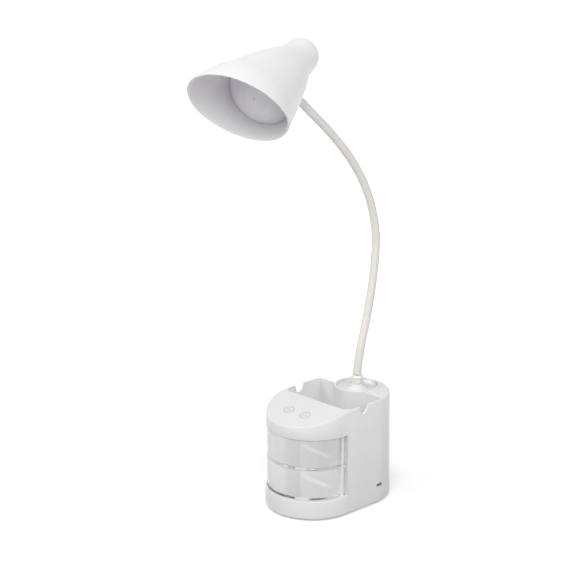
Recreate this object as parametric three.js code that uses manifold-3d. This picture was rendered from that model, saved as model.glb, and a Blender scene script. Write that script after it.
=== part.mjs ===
// Rechargeable desk lamp on an organizer base: a stadium-shaped housing with a pen cup, two notches
// for a phone and two clear swing-out drawers, a flexible neck, and a bell-shaped shade.
// Millimetres, +Z up. The front, with the drawers, faces -Y. The origin is the middle of the foot pad.
import * as THREE from 'three';
import Module from 'manifold-3d';
import { mergeVertices } from 'three/addons/utils/BufferGeometryUtils.js';

const wasm = await Module();
wasm.setup();

// Gaps
const GAP = 0.3;                 // between pieces that touch or are cut by each other
const RUN_GAP = 0.4;             // round what turns
const OVERRUN = 4;               // how far a cutter reaches past what it cuts

// Base housing
const BASE_HALF_WIDTH = 45;      // at the top of the walls
const BASE_STRAIGHT = 44.2;      // straight part of each side wall
const BASE_FLARE = 0.8;          // how much wider each side is at the foot
const BASE_TOP = 107.5;          // top of the walls above the table
const BASE_LIFT = 0.6;           // housing edge above the table
const FOOT_FILLET = 3.6;
const TOP_FILLET = 2.4;
const WALL = 2.2;
const FLOOR = 2.2;
const DECK_EDGE = 18.1;          // rear edge of the touch deck, in front of the origin
const DECK_TILT = Math.atan(0.262);
const BAY_LOW = 20.3;            // top of the foot ring
const BAND_HEIGHT = 24.6;        // from the band's lower edge to the top of the walls
const CUP_FLOOR = 28.2;
const CUP_REAR_OFFSET = 9.7;     // cup's rear wall in front of the column's axis
const CUP_REAR_WALL = 1.8;
const CUP_FRONT_CORNER = 9;
const CUP_REAR_CORNER = 2.6;
const LEDGE_DROP = 13.5;         // step behind the cup on the left, below the walls' top
const LEDGE_CORNER = 4;
const NOTCH_FRONT = -2.2;        // phone notch in each side wall, along Y
const NOTCH_REAR = 9.4;
const NOTCH_DEPTH = 8.4;
// Notch outline from front to rear as shares of its width and of its depth
const NOTCH_SHARES = [
  [0, 0], [0.086, 0.536], [0.138, 0.774], [0.241, 0.952], [0.345, 1], [0.466, 0.976], [0.621, 0.869],
  [0.776, 0.69], [0.897, 0.476], [0.957, 0.262], [1, 0],
];

// Column under the neck
const COLUMN_SET_IN = 3.7;       // column inside the rear of the housing
const COLUMN_RADIUS = 22.7;
const COLUMN_RISE = 1.5;         // column rim above the walls
const CAP_RADIUS = 20.2;
const CAP_SHELF = 2;             // width of the shelf that the cap rests on
const CAP_SHELF_DROP = 5.5;      // shelf below the column rim
const CAP_DISH = 3.8;            // how far the cap dips
const DISH_SHOULDER_SHARE = 0.7; // dip at the shoulder over the whole dip
const CAP_HUB_RADIUS = 8;
const CAP_HUB_RISE = 1.4;        // hub above the column rim

// Foot, cover and ballast
const PAD_INSET = 12;
const COVER_THICKNESS = 2;
const COVER_RECESS = 0.8;        // cover above the housing edge
const BALLAST_THICKNESS = 5;
const BALLAST_INSET = 4;
const BOSS_RADIUS = 4.6;
const BOSS_ANGLE = THREE.MathUtils.degToRad(32);
const SCREW_SHANK = 1.3;
const SCREW_HEAD = 2.6;
const SCREW_HEAD_HEIGHT = 1.2;
const SCREW_LENGTH = 9;

// Charging board, socket and battery
const BOARD_THICKNESS = 1.6;
const PORT_Y = 26.3;
const PORT_Z = 19.1;
const PORT_WIDTH = 8.4;
const PORT_HEIGHT = 4.2;
const SOCKET_WIDTH = 7.5;
const SOCKET_HEIGHT = 2.9;
const SOCKET_DEPTH = 5.6;
const SOCKET_SKIN = 0.35;
const SOCKET_TONGUE = 0.6;
const TONGUE_SHARE = 0.7;        // tongue width over socket width
const SOCKET_SET_BACK = 1;       // socket face behind the outer wall
const BOARD_CLEARANCE = 5.3;     // board beside the battery's holder
const MAIN_BOARD_FRONT = 19;     // board in front of and behind the port
const MAIN_BOARD_REAR = 7;
const BOARD_SET_BACK = 2.5;      // board edge behind the wall's inner face
const BOARD_POST_RADIUS = 2.6;
const BOARD_POST_INSET = 3.6;
const BOARD_SCREW_DEPTH = 5;
const CELL_RADIUS = 9.2;
const CELL_LENGTH = 65;
const CELL_BUTTON_RADIUS = 3;
const CELL_BUTTON_RISE = 1;
const HOLDER_WALL = 1.5;
const HOLDER_HEIGHT = 24;

// Touch board under the deck
const TOUCH_X = 11;
const TOUCH_SET_BACK = 24.9;     // behind the front of the housing
const TOUCH_RADIUS = 5.2;
const TOUCH_BOARD_LENGTH = 40;
const TOUCH_BOARD_WIDTH = 15;
const ELECTRODE_THICKNESS = 1.6;
const CEILING_THICKNESS = 2;
const RIB_WIDTH = 3;

// Drawers
const DRAWER_SET_IN = 0.7;       // drawers' fronts behind the wall above them
const DRAWER_WALL = 1.9;
const DRAWER_FLOOR = 2.2;
const DRAWER_GAP = 0.5;
const DRAWER_BACK_GAP = 0.6;
const BARREL_RADIUS = 3.8;
const PIN_RADIUS = 1.5;
const PIN_BOSS_RADIUS = 4.5;     // bosses that hold the pin's ends
const PIN_SEAT = 3;              // depth of the pin's blind holes
const HINGE_RECESS = 1.4;        // how far the hinge corner of the bay is let into the wall
const HINGE_FORWARD = 2.9;       // pin in front of the bay's back wall

// Neck
const NECK_RADIUS = 4.3;
const NECK_BORE = 2.9;
const NECK_RISE = 308.9;         // from the cap's hub to the shade
const NECK_REACH = 94.3;
const FERRULE_RADIUS = 5;
const FERRULE_HEIGHT = 8.6;
const COLLAR_RADIUS = 6;         // flare of the ferrule below the neck
const COLLAR_HEIGHT = 2.9;
const STUD_RADIUS = 3.6;
const STUD_DROP = 16;            // stud below the cap's hub
const NUT_SIDES = 6;
const NUT_FLATS = 13;
const NUT_HEIGHT = 5;
const NECK_FIRST_JOINT = 24;     // along the neck from the hub
const NECK_LAST_JOINT = 16;      // back along the neck from the shade
const NECK_LINKS = 5;
const NECK_INSIDE = 13;           // neck end inside the shade
// Centreline as shares of the reach and of the rise
const NECK_SHARES = [
  [0, 0], [0, 0.035], [-0.043, 0.108], [-0.134, 0.209], [-0.21, 0.31], [-0.256, 0.412], [-0.256, 0.485],
  [-0.189, 0.573], [-0.066, 0.657], [0.129, 0.744], [0.401, 0.834], [0.723, 0.924], [1, 1],
];

// Shade
const SHADE_YAW = THREE.MathUtils.degToRad(18.6);
const SHADE_PITCH = THREE.MathUtils.degToRad(13.3);
const SHADE_LENGTH = 172;
const SHADE_RADIUS = 50.5;
const SHADE_WALL = 2;
const MOUTH_STATION_SHARE = 0.8;   // where the mouth's plane meets the axis
const MOUTH_TILT = THREE.MathUtils.degToRad(32);
const NECK_STATION_SHARE = 0.2445;   // where the neck enters
// Outline from the tail to the mouth as shares of the length and of the radius
const SHADE_SHARES = [
  [0, 0], [0.008, 0.191], [0.033, 0.301], [0.076, 0.356], [0.124, 0.361], [0.179, 0.375], [0.234, 0.42],
  [0.302, 0.498], [0.384, 0.586], [0.481, 0.677], [0.585, 0.757], [0.687, 0.84], [0.81, 0.94], [1, 1],
];
const BUSH_RADIUS = 8;
const BUSH_HEIGHT = 11;          // above the place where the neck's axis meets the shade

// Light unit
const HOLDER_STATION_SHARE = 0.516;
const HOLDER_DISC = 2.4;
const HOLDER_RIM = 6.6;
const HOLDER_BEVEL = 1.4;        // holder's rim is lower beside the diffuser
const HOLDER_HOLE = 5;
const HOLDER_LIP = 1.2;          // holder's wall round the diffuser
const DIFFUSER_SKIRT = 2.5;
const DIFFUSER_RISE = 16;
const DIFFUSER_WALL = 1.5;
const LED_BOARD_CLEARANCE = 2.3;
const LED_COUNT = 8;
const LED_SIZE = 3.5;
const LED_HEIGHT = 0.9;
const LED_INSET = 10;
const LIGHT_SCREWS = 3;
const LIGHT_SCREW_INSET = 4;

// Facets
const AROUND = 40;
const AROUND_DRAWER = 60;
const AROUND_SHADE = 36;
const AROUND_NECK = 12;
const AROUND_SMALL = 16;
const AROUND_TINY = 12;
const ARC_STEPS = 3;
const CORNER_STEPS = 5;
const DOME_STEPS = 5;
const NECK_STEP = 13;            // between the rings of the neck
const NECK_DIVISIONS = 800;      // of the neck's curve, to measure its length
const SHADE_STATION_SHARES = [
  0, 0.03, 0.07, 0.12, 0.18, 0.25, 0.33, 0.41, 0.5, 0.59, 0.68, 0.77, 0.86, 0.93, 1,
];
const MERGE_DISTANCE = 1e-4;

// Derived places
const HALF_STRAIGHT = BASE_STRAIGHT / 2;
const BAY_HIGH = BASE_TOP - BAND_HEIGHT;
const LEDGE_TOP = BASE_TOP - LEDGE_DROP;
const RIM_TOP = BASE_TOP + COLUMN_RISE;
const HUB_TOP = RIM_TOP + CAP_HUB_RISE;
const SHELF_TOP = RIM_TOP - CAP_SHELF_DROP;
const COVER_LOW = BASE_LIFT + COVER_RECESS;
const COVER_HIGH = COVER_LOW + COVER_THICKNESS;
const BALLAST_HIGH = COVER_HIGH + GAP + BALLAST_THICKNESS;
const BAY_BACK = -DECK_EDGE - WALL;
const BASE_REAR = HALF_STRAIGHT + BASE_HALF_WIDTH;
const COLUMN_Y = BASE_REAR - COLUMN_SET_IN - COLUMN_RADIUS;
const CUP_REAR = COLUMN_Y - CUP_REAR_OFFSET;
const TOUCH_Y = TOUCH_SET_BACK - BASE_REAR;
const CUP_SIDE = BASE_HALF_WIDTH - WALL;
const CUP_BACK_FACE = CUP_REAR + CUP_REAR_WALL;
const DRAWER_RADIUS = BASE_HALF_WIDTH - DRAWER_SET_IN;
const BARREL_X = DRAWER_RADIUS - BARREL_RADIUS;
const BARREL_Y = BAY_BACK - HINGE_FORWARD;
const DRAWER_HEIGHT = (BAY_HIGH - BAY_LOW - 3 * DRAWER_GAP) / 2;
const BOARD_TOP = PORT_Z - SOCKET_HEIGHT / 2 - GAP;
const BOARD_RIGHT = CUP_SIDE - BOARD_SET_BACK;
const INSIDE_HALF_WIDTH = BASE_HALF_WIDTH - WALL;
const CELL_FLOOR = BALLAST_HIGH + GAP + HOLDER_WALL;
const TOUCH_STACK = FLOOR + 2 * GAP + ELECTRODE_THICKNESS;
const MOUTH_STATION = MOUTH_STATION_SHARE * SHADE_LENGTH;
const NECK_STATION = NECK_STATION_SHARE * SHADE_LENGTH;
const HOLDER_STATION = HOLDER_STATION_SHARE * SHADE_LENGTH;

const lamp = new THREE.Group();

// Materials
const white = { color: 0xf1f0f2, roughness: 0.28, metalness: 0 };
const cream = { color: 0xe4ddd0, roughness: 0.55, metalness: 0 };
const clear = { color: 0xe8eef2, roughness: 0.05, metalness: 0, transparent: true, opacity: 0.35 };
const milk = { color: 0xf4f3f1, roughness: 0.45, metalness: 0 };
const steel = { color: 0xb9bbbe, roughness: 0.35, metalness: 1 };
const rubber = { color: 0xd5d4d2, roughness: 0.8, metalness: 0 };
const board = { color: 0x2f6b45, roughness: 0.5, metalness: 0 };
const boardWhite = { color: 0xeceae4, roughness: 0.5, metalness: 0.1 };
const grey = { color: 0x8b8d90, roughness: 0.5, metalness: 0 };
const wrap = { color: 0x3c6fa8, roughness: 0.35, metalness: 0 };
const phosphor = { color: 0xe8d25a, roughness: 0.4, metalness: 0 };

// Solids: a geometry becomes a manifold for a cut or a join, and comes back as a geometry
function solid(geometry) {
  const bare = geometry.clone();
  bare.deleteAttribute('normal');
  bare.deleteAttribute('uv');
  const merged = mergeVertices(bare, MERGE_DISTANCE);
  const vertProperties = new Float32Array(merged.attributes.position.array);
  const triVerts = new Uint32Array(merged.index.array);
  const body = new wasm.Manifold(new wasm.Mesh({ numProp: 3, vertProperties, triVerts }));
  if (body.volume() >= 0) return body;
  return new wasm.Manifold(new wasm.Mesh({ numProp: 3, vertProperties, triVerts: triVerts.reverse() }));
}

function geometryOf(body) {
  const mesh = body.getMesh();
  const geometry = new THREE.BufferGeometry();
  geometry.setAttribute('position', new THREE.BufferAttribute(new Float32Array(mesh.vertProperties), 3));
  geometry.setIndex(new THREE.BufferAttribute(new Uint32Array(mesh.triVerts), 1));
  geometry.computeVertexNormals();
  return geometry;
}

function joined(first, ...rest) {
  return rest.reduce((sum, other) => sum.add(other), first);
}

function cut(first, ...rest) {
  return rest.reduce((left, other) => left.subtract(other), first);
}

function add(name, shape, finish, parent = lamp) {
  const geometry = shape.isBufferGeometry ? shape : geometryOf(shape);
  const mesh = new THREE.Mesh(geometry, new THREE.MeshStandardMaterial(finish));
  mesh.name = name;
  parent.add(mesh);
  return mesh;
}

// Prism of an XY outline between two heights
function prism(outline, low, high) {
  const geometry = new THREE.ExtrudeGeometry(outline, {
    depth: high - low, bevelEnabled: false, curveSegments: CORNER_STEPS,
  });
  geometry.translate(0, 0, low);
  return solid(geometry);
}

// Prism of an outline given in Y and Z, between two places along X
function crossPrism(points, left, right) {
  const outline = new THREE.Shape(points.map(([y, z]) => new THREE.Vector2(y, z)));
  const geometry = new THREE.ExtrudeGeometry(outline, { depth: right - left, bevelEnabled: false });
  geometry.translate(0, 0, left);
  geometry.applyMatrix4(new THREE.Matrix4().makeBasis(
    new THREE.Vector3(0, 1, 0), new THREE.Vector3(0, 0, 1), new THREE.Vector3(1, 0, 0)));
  return solid(geometry);
}

function box(x0, x1, y0, y1, z0, z1) {
  const geometry = new THREE.BoxGeometry(x1 - x0, y1 - y0, z1 - z0);
  geometry.translate((x0 + x1) / 2, (y0 + y1) / 2, (z0 + z1) / 2);
  return solid(geometry);
}

// Turned piece about +Z; the profile holds [radius, height] points
function turned(profile, around = AROUND, x = 0, y = 0) {
  const closed = profile[0][0] > 0 ? [...profile, profile[0]] : profile;
  const points = closed.map(([radius, height]) => new THREE.Vector2(radius, height));
  const geometry = new THREE.LatheGeometry(points, around);
  geometry.rotateX(Math.PI / 2);
  geometry.translate(x, y, 0);
  return solid(geometry);
}

function rod(radius, low, high, x, y, around = AROUND_SMALL) {
  return turned([[0, low], [radius, low], [radius, high], [0, high]], around, x, y);
}

// Like rods at several [x, y] places
function rodsAt(places, radius, low, high, around = AROUND_TINY) {
  return places.map(([x, y]) => rod(radius, low, high, x, y, around));
}

function stadiumSlab(radius, low, high) {
  const outline = new THREE.Shape();
  outline.absarc(0, HALF_STRAIGHT, radius, 0, Math.PI, false);
  outline.absarc(0, -HALF_STRAIGHT, radius, Math.PI, 2 * Math.PI, false);
  const geometry = new THREE.ExtrudeGeometry(outline, {
    depth: high - low, bevelEnabled: false, curveSegments: AROUND / 2,
  });
  geometry.translate(0, 0, low);
  return solid(geometry);
}

// Quarter round from one [radius, height] direction to the next about a centre
function quarter(centreR, centreZ, radius, from) {
  return Array.from({ length: ARC_STEPS + 1 }, (_, i) => {
    const angle = from + (i / ARC_STEPS) * (Math.PI / 2);
    return [centreR + radius * Math.cos(angle), centreZ + radius * Math.sin(angle)];
  });
}

function deckHeight(y) {
  return BASE_TOP + (y + DECK_EDGE) * Math.tan(DECK_TILT);
}

// Housing
function outerBlock() {
  const foot = BASE_HALF_WIDTH + BASE_FLARE;
  const sides = [
    ...quarter(foot - FOOT_FILLET, BASE_LIFT + FOOT_FILLET, FOOT_FILLET, -Math.PI / 2),
    ...quarter(BASE_HALF_WIDTH - TOP_FILLET, BASE_TOP - TOP_FILLET, TOP_FILLET, 0),
  ];
  const rings = sides.map(([radius, height]) => stadiumRing(radius, height));
  return loft(rings);
}

function stadiumRing(radius, height) {
  const ring = [];
  const steps = AROUND / 2;
  [0, Math.PI].forEach((from) => {
    const centre = from ? -HALF_STRAIGHT : HALF_STRAIGHT;
    for (let i = 0; i <= steps; i += 1) {
      const angle = from + (i / steps) * Math.PI;
      ring.push(new THREE.Vector3(radius * Math.cos(angle), centre + radius * Math.sin(angle), height));
    }
  });
  return ring;
}

// Closed body through rings of equal count, with flat ends
function loft(rings) {
  const count = rings[0].length;
  const places = rings.flat().flatMap((point) => point.toArray());
  const faces = [];
  for (let level = 0; level < rings.length - 1; level += 1) {
    for (let i = 0; i < count; i += 1) {
      const here = level * count + i;
      const next = level * count + ((i + 1) % count);
      faces.push(here, next, next + count, here, next + count, here + count);
    }
  }
  const top = (rings.length - 1) * count;
  for (let i = 1; i < count - 1; i += 1) {
    faces.push(0, i + 1, i);
    faces.push(top, top + i, top + i + 1);
  }
  const geometry = new THREE.BufferGeometry();
  geometry.setAttribute('position', new THREE.BufferAttribute(new Float32Array(places), 3));
  geometry.setIndex(faces);
  return solid(geometry);
}

function deckCutter() {
  const front = -BASE_REAR - OVERRUN;
  const high = BASE_TOP + OVERRUN;
  const points = [[-DECK_EDGE, BASE_TOP], [-DECK_EDGE, high], [front, high], [front, deckHeight(front)]];
  return crossPrism(points, -BASE_REAR, BASE_REAR);
}

function cupCutter() {
  const outline = roundedBox(-CUP_SIDE, CUP_SIDE, -DECK_EDGE, CUP_REAR, CUP_FRONT_CORNER, CUP_REAR_CORNER);
  const high = RIM_TOP + OVERRUN;
  const room = prism(outline, CUP_FLOOR, high).intersect(stadiumSlab(INSIDE_HALF_WIDTH, CUP_FLOOR, high));
  return cut(room, rod(COLUMN_RADIUS, BASE_LIFT, high + OVERRUN, 0, COLUMN_Y, AROUND));
}

function roundedBox(x0, x1, y0, y1, frontCorner, rearCorner) {
  const outline = new THREE.Shape();
  outline.absarc(x1 - frontCorner, y0 + frontCorner, frontCorner, -Math.PI / 2, 0, false);
  outline.absarc(x1 - rearCorner, y1 - rearCorner, rearCorner, 0, Math.PI / 2, false);
  outline.absarc(x0 + rearCorner, y1 - rearCorner, rearCorner, Math.PI / 2, Math.PI, false);
  outline.absarc(x0 + frontCorner, y0 + frontCorner, frontCorner, Math.PI, 1.5 * Math.PI, false);
  return outline;
}

function notchCutter() {
  const width = NOTCH_REAR - NOTCH_FRONT;
  const high = BASE_TOP + OVERRUN;
  const edge = NOTCH_SHARES.map(([along, down]) => (
    [NOTCH_FRONT + along * width, BASE_TOP - down * NOTCH_DEPTH]));
  const points = [[NOTCH_FRONT, high], ...edge, [NOTCH_REAR, high]];
  return crossPrism(points.reverse(), -BASE_REAR, BASE_REAR);
}

function bayCutter() {
  const front = -BASE_REAR - OVERRUN;
  const room = box(-BASE_REAR, BASE_REAR, front, BAY_BACK, BAY_LOW, BAY_HIGH);
  const recessSide = BARREL_X - BARREL_RADIUS - RUN_GAP;
  const recess = box(recessSide, BASE_REAR, front, BAY_BACK + HINGE_RECESS, BAY_LOW, BAY_HIGH);
  return joined(room, recess);
}

function chamberCutter() {
  const front = -BASE_REAR - OVERRUN;
  const low = BAY_HIGH - OVERRUN;
  const drop = FLOOR / Math.cos(DECK_TILT);
  const points = [
    [BAY_BACK, low], [BAY_BACK, deckHeight(BAY_BACK) - drop], [front, deckHeight(front) - drop], [front, low],
  ];
  return crossPrism(points, -BASE_REAR, BASE_REAR).intersect(stadiumSlab(INSIDE_HALF_WIDTH, low, BASE_TOP));
}

// Step behind the cup on the left, where only the cup's thin rear wall and the column stand up
function ledgeCutter() {
  const side = -Math.sqrt(BASE_HALF_WIDTH ** 2 - (CUP_BACK_FACE - HALF_STRAIGHT) ** 2);
  const far = BASE_REAR + OVERRUN;
  const outline = new THREE.Shape();
  outline.moveTo(0, CUP_BACK_FACE);
  outline.lineTo(0, far);
  outline.lineTo(-far, far);
  outline.lineTo(-far, CUP_BACK_FACE - LEDGE_CORNER);
  outline.lineTo(side, CUP_BACK_FACE - LEDGE_CORNER);
  const corner = [side + LEDGE_CORNER, CUP_BACK_FACE - LEDGE_CORNER];
  outline.absarc(...corner, LEDGE_CORNER, Math.PI, Math.PI / 2, true);
  const high = RIM_TOP + OVERRUN;
  return cut(prism(outline, LEDGE_TOP, high), rod(COLUMN_RADIUS, BASE_LIFT, high, 0, COLUMN_Y, AROUND));
}

function columnCavity() {
  const tube = CAP_RADIUS + GAP;
  const shelf = CAP_RADIUS - CAP_SHELF;
  return turned([
    [0, CUP_FLOOR - FLOOR - OVERRUN], [tube, CUP_FLOOR - FLOOR - OVERRUN], [tube, SHELF_TOP - CAP_SHELF],
    [shelf, SHELF_TOP - CAP_SHELF / 2], [shelf, SHELF_TOP], [tube, SHELF_TOP], [tube, RIM_TOP + OVERRUN],
    [0, RIM_TOP + OVERRUN],
  ], AROUND, 0, COLUMN_Y);
}

function rearCavity() {
  const low = BAY_LOW - FLOOR;
  const behind = CUP_BACK_FACE;
  const right = box(WALL, BASE_REAR, behind, BASE_REAR + OVERRUN, low, BASE_TOP - FLOOR);
  const left = box(-BASE_REAR, 2 * WALL, behind, BASE_REAR + OVERRUN, low, LEDGE_TOP - FLOOR);
  const room = joined(right, left).intersect(stadiumSlab(INSIDE_HALF_WIDTH, low, BASE_TOP));
  return cut(room, rod(COLUMN_RADIUS, low - OVERRUN, BASE_TOP + OVERRUN, 0, COLUMN_Y, AROUND));
}

function footCavity() {
  const low = BASE_LIFT - OVERRUN;
  const flat = stadiumSlab(INSIDE_HALF_WIDTH, low, BAY_LOW - FLOOR);
  const underCup = stadiumSlab(INSIDE_HALF_WIDTH, low, CUP_FLOOR - FLOOR);
  const belowCup = box(-BASE_REAR, BASE_REAR, -DECK_EDGE, BASE_REAR, low, CUP_FLOOR);
  return joined(flat, underCup.intersect(belowCup));
}

// Screw bosses stand against the inside of the wall at both ends of the stadium
function bossPlaces() {
  const reach = INSIDE_HALF_WIDTH + WALL / 4 - BOSS_RADIUS;
  const x = reach * Math.cos(BOSS_ANGLE);
  const y = HALF_STRAIGHT + reach * Math.sin(BOSS_ANGLE);
  return [[-x, -y], [x, -y], [-x, y], [x, y]];
}

function portCutter() {
  const half = PORT_WIDTH / 2;
  const tall = PORT_HEIGHT / 2;
  const corner = PORT_HEIGHT / 5;
  const points = [
    [-half + corner, -tall], [half - corner, -tall], [half, -tall + corner], [half, tall - corner],
    [half - corner, tall], [-half + corner, tall], [-half, tall - corner], [-half, -tall + corner],
  ].map(([y, z]) => [PORT_Y + y, PORT_Z + z]);
  return crossPrism(points, CUP_SIDE - OVERRUN / 2, BASE_REAR);
}

// Thickened places that hold the ends of the drawers' pin
function pinSeat() {
  const radius = PIN_BOSS_RADIUS;
  const x = BARREL_X - WALL;
  const low = rod(radius, BAY_LOW - PIN_SEAT - FLOOR, BAY_LOW, x, BARREL_Y);
  return low.add(rod(radius, BAY_HIGH, BAY_HIGH + PIN_SEAT + FLOOR, x, BARREL_Y));
}

function housing() {
  const places = bossPlaces();
  const bossLow = COVER_HIGH + GAP;
  const bosses = rodsAt(places, BOSS_RADIUS, bossLow, BAY_LOW - FLOOR / 2, AROUND_SMALL);
  const rear = places.filter(([, y]) => y > 0);
  const tall = rodsAt(rear, BOSS_RADIUS, bossLow, CUP_FLOOR - FLOOR / 2, AROUND_SMALL);
  const holes = rodsAt(places, SCREW_SHANK + GAP, BASE_LIFT, COVER_LOW + SCREW_LENGTH + GAP);
  const column = rod(COLUMN_RADIUS, CUP_FLOOR, RIM_TOP, 0, COLUMN_Y, AROUND);
  const pinHole = rod(PIN_RADIUS + GAP, BAY_LOW - PIN_SEAT, BAY_HIGH + PIN_SEAT, BARREL_X, BARREL_Y);
  const shell = cut(
    outerBlock(), deckCutter(), cupCutter(), notchCutter(), bayCutter(), chamberCutter(), ledgeCutter(),
    rearCavity(), footCavity(), portCutter(),
  );
  return cut(joined(shell, column, ...bosses, ...tall, pinSeat()), columnCavity(), ...holes, pinHole);
}

add('housing', housing(), white);

// Plate that closes the touch board's chamber from below, with two ribs that carry the board
function bayCeiling() {
  const high = BAY_HIGH + CEILING_THICKNESS;
  const front = -BASE_REAR - OVERRUN;
  const plate = stadiumSlab(INSIDE_HALF_WIDTH - GAP, BAY_HIGH, high)
    .intersect(box(-BASE_REAR, BASE_REAR, front, BAY_BACK - GAP, BAY_HIGH, high));
  const drop = (TOUCH_STACK + BOARD_THICKNESS + GAP) / Math.cos(DECK_TILT);
  const rear = TOUCH_Y + TOUCH_BOARD_WIDTH / 3;
  const fore = TOUCH_Y - TOUCH_BOARD_WIDTH / 3;
  const side = [
    [rear, BAY_HIGH], [rear, deckHeight(rear) - drop], [fore, deckHeight(fore) - drop], [fore, BAY_HIGH],
  ];
  const ribs = [-1, 1].map((hand) => {
    const centre = hand * (TOUCH_BOARD_LENGTH / 2 - RIB_WIDTH);
    return crossPrism(side, centre - RIB_WIDTH / 2, centre + RIB_WIDTH / 2);
  });
  const seat = PIN_BOSS_RADIUS + GAP;
  const left = BARREL_X - WALL - seat;
  const corner = box(left, BASE_REAR, BARREL_Y - seat, 0, BAY_HIGH - OVERRUN, high + OVERRUN);
  return cut(joined(plate, ...ribs), corner);
}
add('bay_ceiling', bayCeiling(), white);

// Touch board and its two electrodes, laid parallel to the deck
const touchGroup = new THREE.Group();
touchGroup.position.set(0, TOUCH_Y, deckHeight(TOUCH_Y));
touchGroup.rotation.x = DECK_TILT;
lamp.add(touchGroup);

function touchBoard() {
  const length = TOUCH_BOARD_LENGTH / 2;
  const width = TOUCH_BOARD_WIDTH / 2;
  return box(-length, length, -width, width, -TOUCH_STACK - BOARD_THICKNESS, -TOUCH_STACK);
}
add('touch_board', touchBoard(), board, touchGroup);
[-1, 1].forEach((hand, i) => {
  const low = GAP - TOUCH_STACK;
  const disc = rod(TOUCH_RADIUS, low, low + ELECTRODE_THICKNESS, hand * TOUCH_X, 0);
  add(`touch_electrode_${i + 1}`, disc, steel, touchGroup);
});

// Screw from its tip to the top of its head; a negative length turns it head down
function screw(shank, seat, length, x, y) {
  const top = seat + Math.sign(length) * SCREW_HEAD_HEIGHT;
  const tip = seat - length;
  const profile = [[0, tip], [shank, tip], [shank, seat], [SCREW_HEAD, seat], [SCREW_HEAD, top], [0, top]];
  return turned(profile, AROUND_TINY, x, y);
}

// Bottom cover with its screws, the foot pad below it and the steel ballast above it
const holderOuter = CELL_RADIUS + GAP + HOLDER_WALL;
const boardLeft = holderOuter + BOARD_CLEARANCE;
const boardFront = PORT_Y - MAIN_BOARD_FRONT;
const boardRear = PORT_Y + MAIN_BOARD_REAR;
const boardPosts = [
  [boardLeft + BOARD_POST_INSET, boardRear - BOARD_POST_INSET],
  [BOARD_RIGHT - BOARD_POST_INSET - SCREW_HEAD, boardFront + BOARD_POST_INSET],
];

function bottomCover() {
  const plate = stadiumSlab(INSIDE_HALF_WIDTH - GAP, COVER_LOW, COVER_HIGH);
  const postTop = BOARD_TOP - BOARD_THICKNESS - GAP;
  const posts = rodsAt(boardPosts, BOARD_POST_RADIUS, COVER_LOW, postTop, AROUND_SMALL);
  const postHoles = rodsAt(boardPosts, SCREW_SHANK, postTop - BOARD_SCREW_DEPTH, postTop + OVERRUN);
  const holes = rodsAt(bossPlaces(), SCREW_SHANK + GAP, BASE_LIFT, COVER_HIGH + OVERRUN);
  const sinks = rodsAt(bossPlaces(), SCREW_HEAD + GAP, BASE_LIFT, COVER_LOW + SCREW_HEAD_HEIGHT + GAP);
  return cut(joined(plate, ...posts), ...holes, ...sinks, ...postHoles);
}
add('bottom_cover', bottomCover(), white);
add('foot_pad', stadiumSlab(BASE_HALF_WIDTH - PAD_INSET, 0, COVER_LOW - GAP), rubber);

const screwSeat = COVER_LOW + SCREW_HEAD_HEIGHT;
bossPlaces().forEach(([x, y], i) => {
  add(`cover_screw_${i + 1}`, screw(SCREW_SHANK, screwSeat, SCREW_HEAD_HEIGHT - SCREW_LENGTH, x, y), steel);
});

function ballast() {
  const low = COVER_HIGH + GAP;
  const slots = rodsAt(bossPlaces(), BOSS_RADIUS + GAP, BASE_LIFT, BAY_LOW, AROUND_SMALL);
  const holes = rodsAt(boardPosts, BOARD_POST_RADIUS + GAP, BASE_LIFT, BAY_LOW, AROUND_SMALL);
  return cut(stadiumSlab(INSIDE_HALF_WIDTH - BALLAST_INSET, low, BALLAST_HIGH), ...slots, ...holes);
}
add('ballast_plate', ballast(), steel);

// Charging board on the cover's posts, with the micro-USB socket behind the port
function mainBoard() {
  const low = BOARD_TOP - BOARD_THICKNESS;
  const plate = box(boardLeft, BOARD_RIGHT, boardFront, boardRear, low, BOARD_TOP);
  return cut(plate, ...rodsAt(boardPosts, SCREW_SHANK, low - OVERRUN, BOARD_TOP + OVERRUN));
}
add('main_board', mainBoard(), board);
boardPosts.forEach(([x, y], i) => {
  const depth = BOARD_SCREW_DEPTH + BOARD_THICKNESS - GAP;
  add(`board_screw_${i + 1}`, screw(SCREW_SHANK - GAP, BOARD_TOP + GAP, depth, x, y), steel);
});

function usbSocket() {
  const face = BASE_HALF_WIDTH - SOCKET_SET_BACK;
  const back = face - SOCKET_DEPTH;
  const half = SOCKET_WIDTH / 2;
  const tall = SOCKET_HEIGHT / 2;
  const skin = SOCKET_SKIN;
  const shell = box(back, face, PORT_Y - half, PORT_Y + half, PORT_Z - tall, PORT_Z + tall);
  const mouth = box(back + 2 * skin, face + OVERRUN, PORT_Y - half + skin, PORT_Y + half - skin,
    PORT_Z - tall + skin, PORT_Z + tall - skin);
  const side = half * TONGUE_SHARE;
  const tongue = box(back + skin, face - SOCKET_SET_BACK, PORT_Y - side, PORT_Y + side,
    PORT_Z, PORT_Z + SOCKET_TONGUE);
  return joined(cut(shell, mouth), tongue);
}
add('usb_socket', usbSocket(), steel);

// Battery cell standing in its holder inside the column
function batteryHolder() {
  const low = BALLAST_HIGH + GAP;
  const high = low + HOLDER_HEIGHT;
  const inner = CELL_RADIUS + GAP;
  return turned([
    [0, low], [holderOuter, low], [holderOuter, high], [inner, high], [inner, CELL_FLOOR], [0, CELL_FLOOR],
  ], AROUND_SMALL, 0, COLUMN_Y);
}
add('battery_holder', batteryHolder(), grey);

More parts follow.
